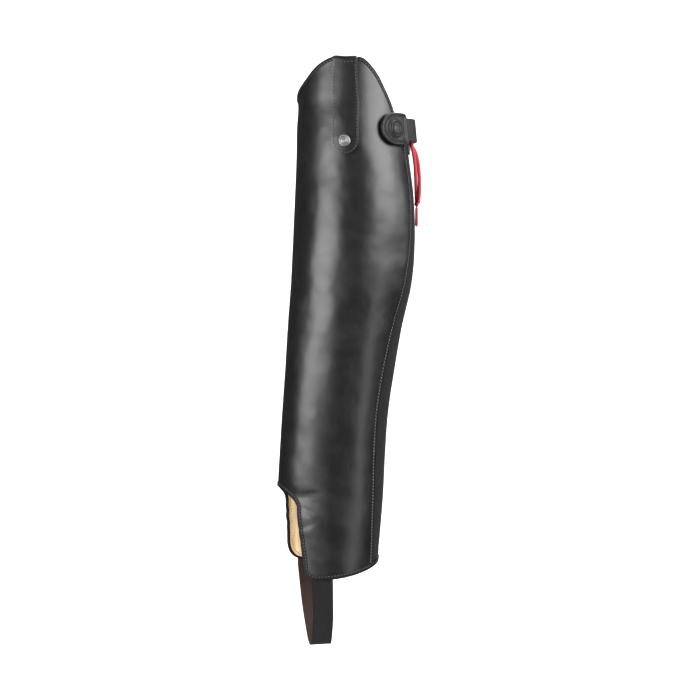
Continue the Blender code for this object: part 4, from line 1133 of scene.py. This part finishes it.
# ---- The loop under the boot ---------------------------------------------------------
# A band of woven elastic, black outside and brown inside, is sewn to the hem on both sides
# and passes under the boot's arch, so that the half chap can't ride up.
FOOT_LOOP = (
    (0.0000, -0.3835), (0.0083, -0.3803), (0.0170, -0.3690), (0.0263, -0.3530),
    (0.0316, -0.3354), (0.0347, -0.3260), (0.0372, OUTER_ARCH.hem + GAP),
)
LOOP_STEPS, LOOP_COLUMNS = 60, 12
FOOT_STRAP, FOOT_STRAP_WIDTH = 0.0018, 0.0190
FOOT_STRAP_TOP_X, FOOT_STRAP_BOTTOM_X = -0.0375, -0.0328
HEM_REACH = 0.0006
hem_places = [leg_point(angle, height) for angle, height in hem_path]


def wall_side(x):
    """How far out the middle of the wall is at the hem, at one place along the foot."""
    back, front, half_width = (curve_value(table, OUTER_ARCH.hem) for table in (BACK, FRONT, HALF_WIDTH))
    widest = front + WIDEST_SHARE * (back - front)
    reach = widest - front if x < widest else back - widest
    share = (x - widest) / (reach - WALL / 2)
    return (half_width - WALL / 2) * math.sqrt(1 - share * share)


def hem_above(x, inner_side):
    """The height of the hem over one place along the foot, on the outer or the inner side."""
    heights = [
        here.z for (angle, height), here in zip(hem_path, hem_places)
        if (angle > 180) == inner_side and abs(here.x - x) < HEM_REACH
    ]
    return min(heights, default=OUTER_ARCH.hem) - BINDING_REACH


def make_foot_loop():
    half = smooth_route(FOOT_LOOP, LOOP_STEPS)
    loop = [(-side, height) for side, height in half[:0:-1]] + half
    loop.append((FOOT_LOOP[-1][0], INNER_ARCH.hem + GAP))
    drop = FOOT_LOOP[-1][1] - FOOT_LOOP[0][1]
    rows, run = [], 0.0
    for k, (side, height) in enumerate(loop):
        up = min((height - FOOT_LOOP[0][1]) / drop, 1.0)
        middle = FOOT_STRAP_BOTTOM_X + (FOOT_STRAP_TOP_X - FOOT_STRAP_BOTTOM_X) * up
        before = loop[max(k - 1, 0)]
        run += math.hypot(side - before[0], height - before[1])
        row = []
        for i in range(LOOP_COLUMNS + 1):
            x = middle + FOOT_STRAP_WIDTH * (i / LOOP_COLUMNS - 0.5)
            lean = math.copysign(1, side) * (wall_side(x) - FOOT_LOOP[-1][0]) * up**3
            at_end = k in (0, len(loop) - 1)
            z = hem_above(x, side > 0) + GAP if at_end else height
            row.append((Vector((x, side + lean, z)), (x, run)))
        rows.append(row)
    outside = ribbed_black(
        "loop_elastic_black", 0.0013, 0.0007, (0.0035, 0.0035, 0.0035), (0.0105, 0.0115, 0.0105)
    )
    inside = ribbed_black(
        "loop_elastic_brown", 0.0013, 0.0007, (0.018, 0.009, 0.007), (0.048, 0.028, 0.024)
    )
    piece = woven_rows("foot_loop", rows, [outside, inside], ((1, 0), (1, 1), (0, 1), (0, 0)))
    thicken(piece, FOOT_STRAP, 0).material_offset = 1
    round_edges(piece, 0.0004)
    return piece


foot_loop = fasten(make_foot_loop(), "black_elastic", "foot_strap")


# ---- The stitching -------------------------------------------------------------------
# Waxed black thread in even lockstitch holds the bindings, the rear seam and the straps. Each
# stitch lies half sunk in the leather, and those of the rear seam are stout and lie aslant.
Stitch = namedtuple("Stitch", "length thick hole slant", defaults=(0.0,))
EDGE_STITCH = Stitch(0.0019, 0.0009, (0.0011, 0.0009, 0.0003))
SEAM_STITCH = Stitch(0.0029, 0.0012, (0.0030, 0.0012, 0.0004), math.radians(48))
STITCH_PITCH = 0.0029
SEAM_INSET, SEAM_OUT, SEAM_OVER_HEM, SEAM_TOP = 0.0030, 0.0004, 0.0045, 0.0760
STRAP_INSET, STRAP_FROM, STRAP_ACROSS, STRAP_DEGREES = 0.0016, -0.0070, -0.0036, 1100
LINING_INSET = 0.0036


def stitch_shape(steps, given):
    bead = steps.add("GeometryNodeMeshUVSphere", {}, {"Segments": 6, "Rings": 5, "Radius": 0.5})
    return steps.add("GeometryNodeTransform", {}, {
        "Geometry": bead, "Scale": given["Size"], "Rotation": given["Slant"],
    })


def thread_finish(name, dark, light):
    def pattern(place):
        twist = place.noise(2600, 2)
        return {
            "Base Color": twist.between(0.35, 0.7).blend(dark, light),
            "Roughness": 0.42 + 0.2 * twist,
            "Normal": twist.bump(0.0001),
        }

    return new_finish(name, pattern, Specular_IOR_Level=0.5)


stitches = repeat_tree("stitch_row", ("Size", "Slant"), stitch_shape)
# Dark discs between the stitches are painted shade, standing for the shadow inside each needle hole.
hole_shade_finish = moulded_black("needle_hole_painted_shade", (0.002, 0.002, 0.002), (0.004, 0.004, 0.004), 0.9)


def started_later(line, distance):
    """The same line from a distance along it."""
    for k in range(1, len(line)):
        step = (line[k][0] - line[k - 1][0]).length
        if step > distance:
            start = line[k - 1][0].lerp(line[k][0], distance / step)
            return [(start, line[k][1])] + line[k:]
        distance -= step


def sew(name, lines, finish, slot, stitch=EDGE_STITCH):
    """A row of stitches on each line, with a dark disc between every two as the painted shade of a
    needle hole.
    """
    hole_shades = [started_later(line, STITCH_PITCH / 2) for line in lines]
    for piece_name, rows, dress, size in (
        (name, lines, finish, (stitch.length, stitch.thick, 0.8 * stitch.thick)),
        (f"{name}_holes", hole_shades, hole_shade_finish, stitch.hole),
    ):
        row = run_repeat(piece_name, stitches, rows, {
            "Pitch": STITCH_PITCH, "Finish": dress, "Size": size, "Slant": (0.0, 0.0, stitch.slant),
        })
        row.data.shade_smooth()
        fasten(row, slot)


def strap_lines():
    """Down one side of the strap, round its end and up the other, then across below its top."""
    downs = between(STRAP_FROM, strap_round, 60)
    down = [(strap_half_width(over) - STRAP_INSET, over) for over in downs]
    radius = STRAP_HALF_LOW - STRAP_INSET
    turns = [math.radians(180 * k / 40) for k in range(41)]
    end = [(radius * math.cos(t), strap_round - radius * math.sin(t)) for t in turns]
    outline = down + end + [(-across, over) for across, over in reversed(down)]
    straight = [(STRAP_HALF_TOP * (2 * k / 12 - 1) * 0.88, STRAP_ACROSS) for k in range(13)]
    return [
        [(strap_point(across, over, GAP + STRAP),
          leg_normal(STRAP_ANGLE + across * STRAP_DEGREES, strap_top + over)) for across, over in line]
        for line in (outline, straight)
    ]


edge_lines, lining_lines = [], []
for node, frames in bound_edges.items():
    inset, out = 0.7 * BINDING_LEGS[node], BINDING_OVER + BINDING_SKIN
    edge_lines.append([(here - away * inset + normal * out, normal) for here, away, normal in frames])
    line = []
    for here, away, normal in frames:
        place = here - away * LINING_INSET
        depth = skived(place, EDGE_LEATHER + EDGE_GAP + EDGE_LINING, WALL)
        line.append((place - normal * depth, -normal))
    lining_lines.append(line)
seam_low = hem_height(40) + SEAM_OVER_HEM
seam_line = []
for height in between(seam_low, SEAM_TOP, 160) + [SEAM_TOP]:
    angle = beside_seam(height, SEAM_INSET)
    seam_line.append((leg_point(angle, height, SEAM_OUT), leg_normal(angle, height)))

waxed_thread = thread_finish("waxed_thread", (0.034, 0.034, 0.035), (0.082, 0.082, 0.084))
seam_thread = thread_finish("seam_thread", (0.062, 0.062, 0.063), (0.145, 0.145, 0.147))
tan_thread = thread_finish("tan_thread", (0.20, 0.12, 0.06), (0.36, 0.24, 0.13))
sew("thread_stitches", edge_lines + strap_lines(), waxed_thread, "black_leather")
sew("seam_stitches", [seam_line], seam_thread, "black_leather", SEAM_STITCH)
sew("lining_stitches", lining_lines, tan_thread, "tan_lining")


# ---- The room ------------------------------------------------------------------------
# A pale sweep of paper, a tall soft light on the left, a broad one on the right, and weaker
# ones from below, from behind and from above.
ROOM_HALF, ROOM_FRONT, ROOM_BACK, ROOM_FLOOR, ROOM_TOP, ROOM_BEND = 3.0, -2.2, 1.6, -0.62, 2.4, 0.5


def paper_pattern(place):
    fibre = place.noise(90, 3)
    return {"Base Color": fibre.blend((0.86, 0.86, 0.86), (0.90, 0.90, 0.90))}


sweep = [(ROOM_FRONT, ROOM_FLOOR), (ROOM_BACK - ROOM_BEND, ROOM_FLOOR)]
for turn in (math.radians(90 * k / 16) for k in range(1, 17)):
    rise = ROOM_BEND * (1 - math.cos(turn))
    sweep.append((ROOM_BACK - ROOM_BEND + ROOM_BEND * math.sin(turn), ROOM_FLOOR + rise))
sweep.append((ROOM_BACK, ROOM_TOP))
room = new_piece(
    "paper_sweep", [(x, y, z) for y, z in sweep for x in (-ROOM_HALF, ROOM_HALF)],
    [[2 * k, 2 * k + 1, 2 * k + 3, 2 * k + 2] for k in range(len(sweep) - 1)],
    [new_finish("pale_paper", paper_pattern, Roughness=0.9)],
)
room.visible_glossy = False


def soft_light(name, place, aim, size, power):
    light = bpy.data.lights.new(name, "AREA")
    light.shape, light.size, light.size_y, light.energy = "RECTANGLE", size[0], size[1], power
    lamp = bpy.data.objects.new(name, light)
    lamp.location = place
    lamp.rotation_euler = (Vector(aim) - Vector(place)).to_track_quat("-Z", "Y").to_euler()
    bpy.context.scene.collection.objects.link(lamp)


def round_the_leg(turn, height, away=1.30):
    """A place for a light: a turn of 0 is straight at the outer side, and plus is toward the calf."""
    turn = math.radians(turn)
    return away * math.sin(turn), -away * math.cos(turn), height


soft_light("left_light", round_the_leg(-60, 0.01), (0, 0, -0.05), (0.95, 0.58), 17)
soft_light("right_light", round_the_leg(39, 0.42), (0, 0, 0.02), (1.30, 0.80), 30)
soft_light("low_right_light", round_the_leg(41, -0.55), (0, 0, -0.2), (0.50, 0.80), 2.8)
soft_light("low_left_light", round_the_leg(-46, -0.72), (0, 0, -0.3), (1.20, 0.56), 5.2)
soft_light("side_light", round_the_leg(78, 0.22), (0, 0, 0.05), (0.70, 0.50), 4)
soft_light("top_light", (0.0, 0.3, 2.0), (0, 0, -0.1), (1.6, 1.2), 16)
soft_light("paper_light", (0.0, 0.6, 2.2), (0, 1.5, -0.4), (3.0, 0.8), 120)

world = bpy.data.worlds.new("room_light")
world.use_nodes = True
world.node_tree.nodes["Background"].inputs["Color"].default_value = (1, 1, 1, 1)
world.node_tree.nodes["Background"].inputs["Strength"].default_value = 0.07
bpy.context.scene.world = world
bpy.context.scene.view_settings.view_transform = "Standard"
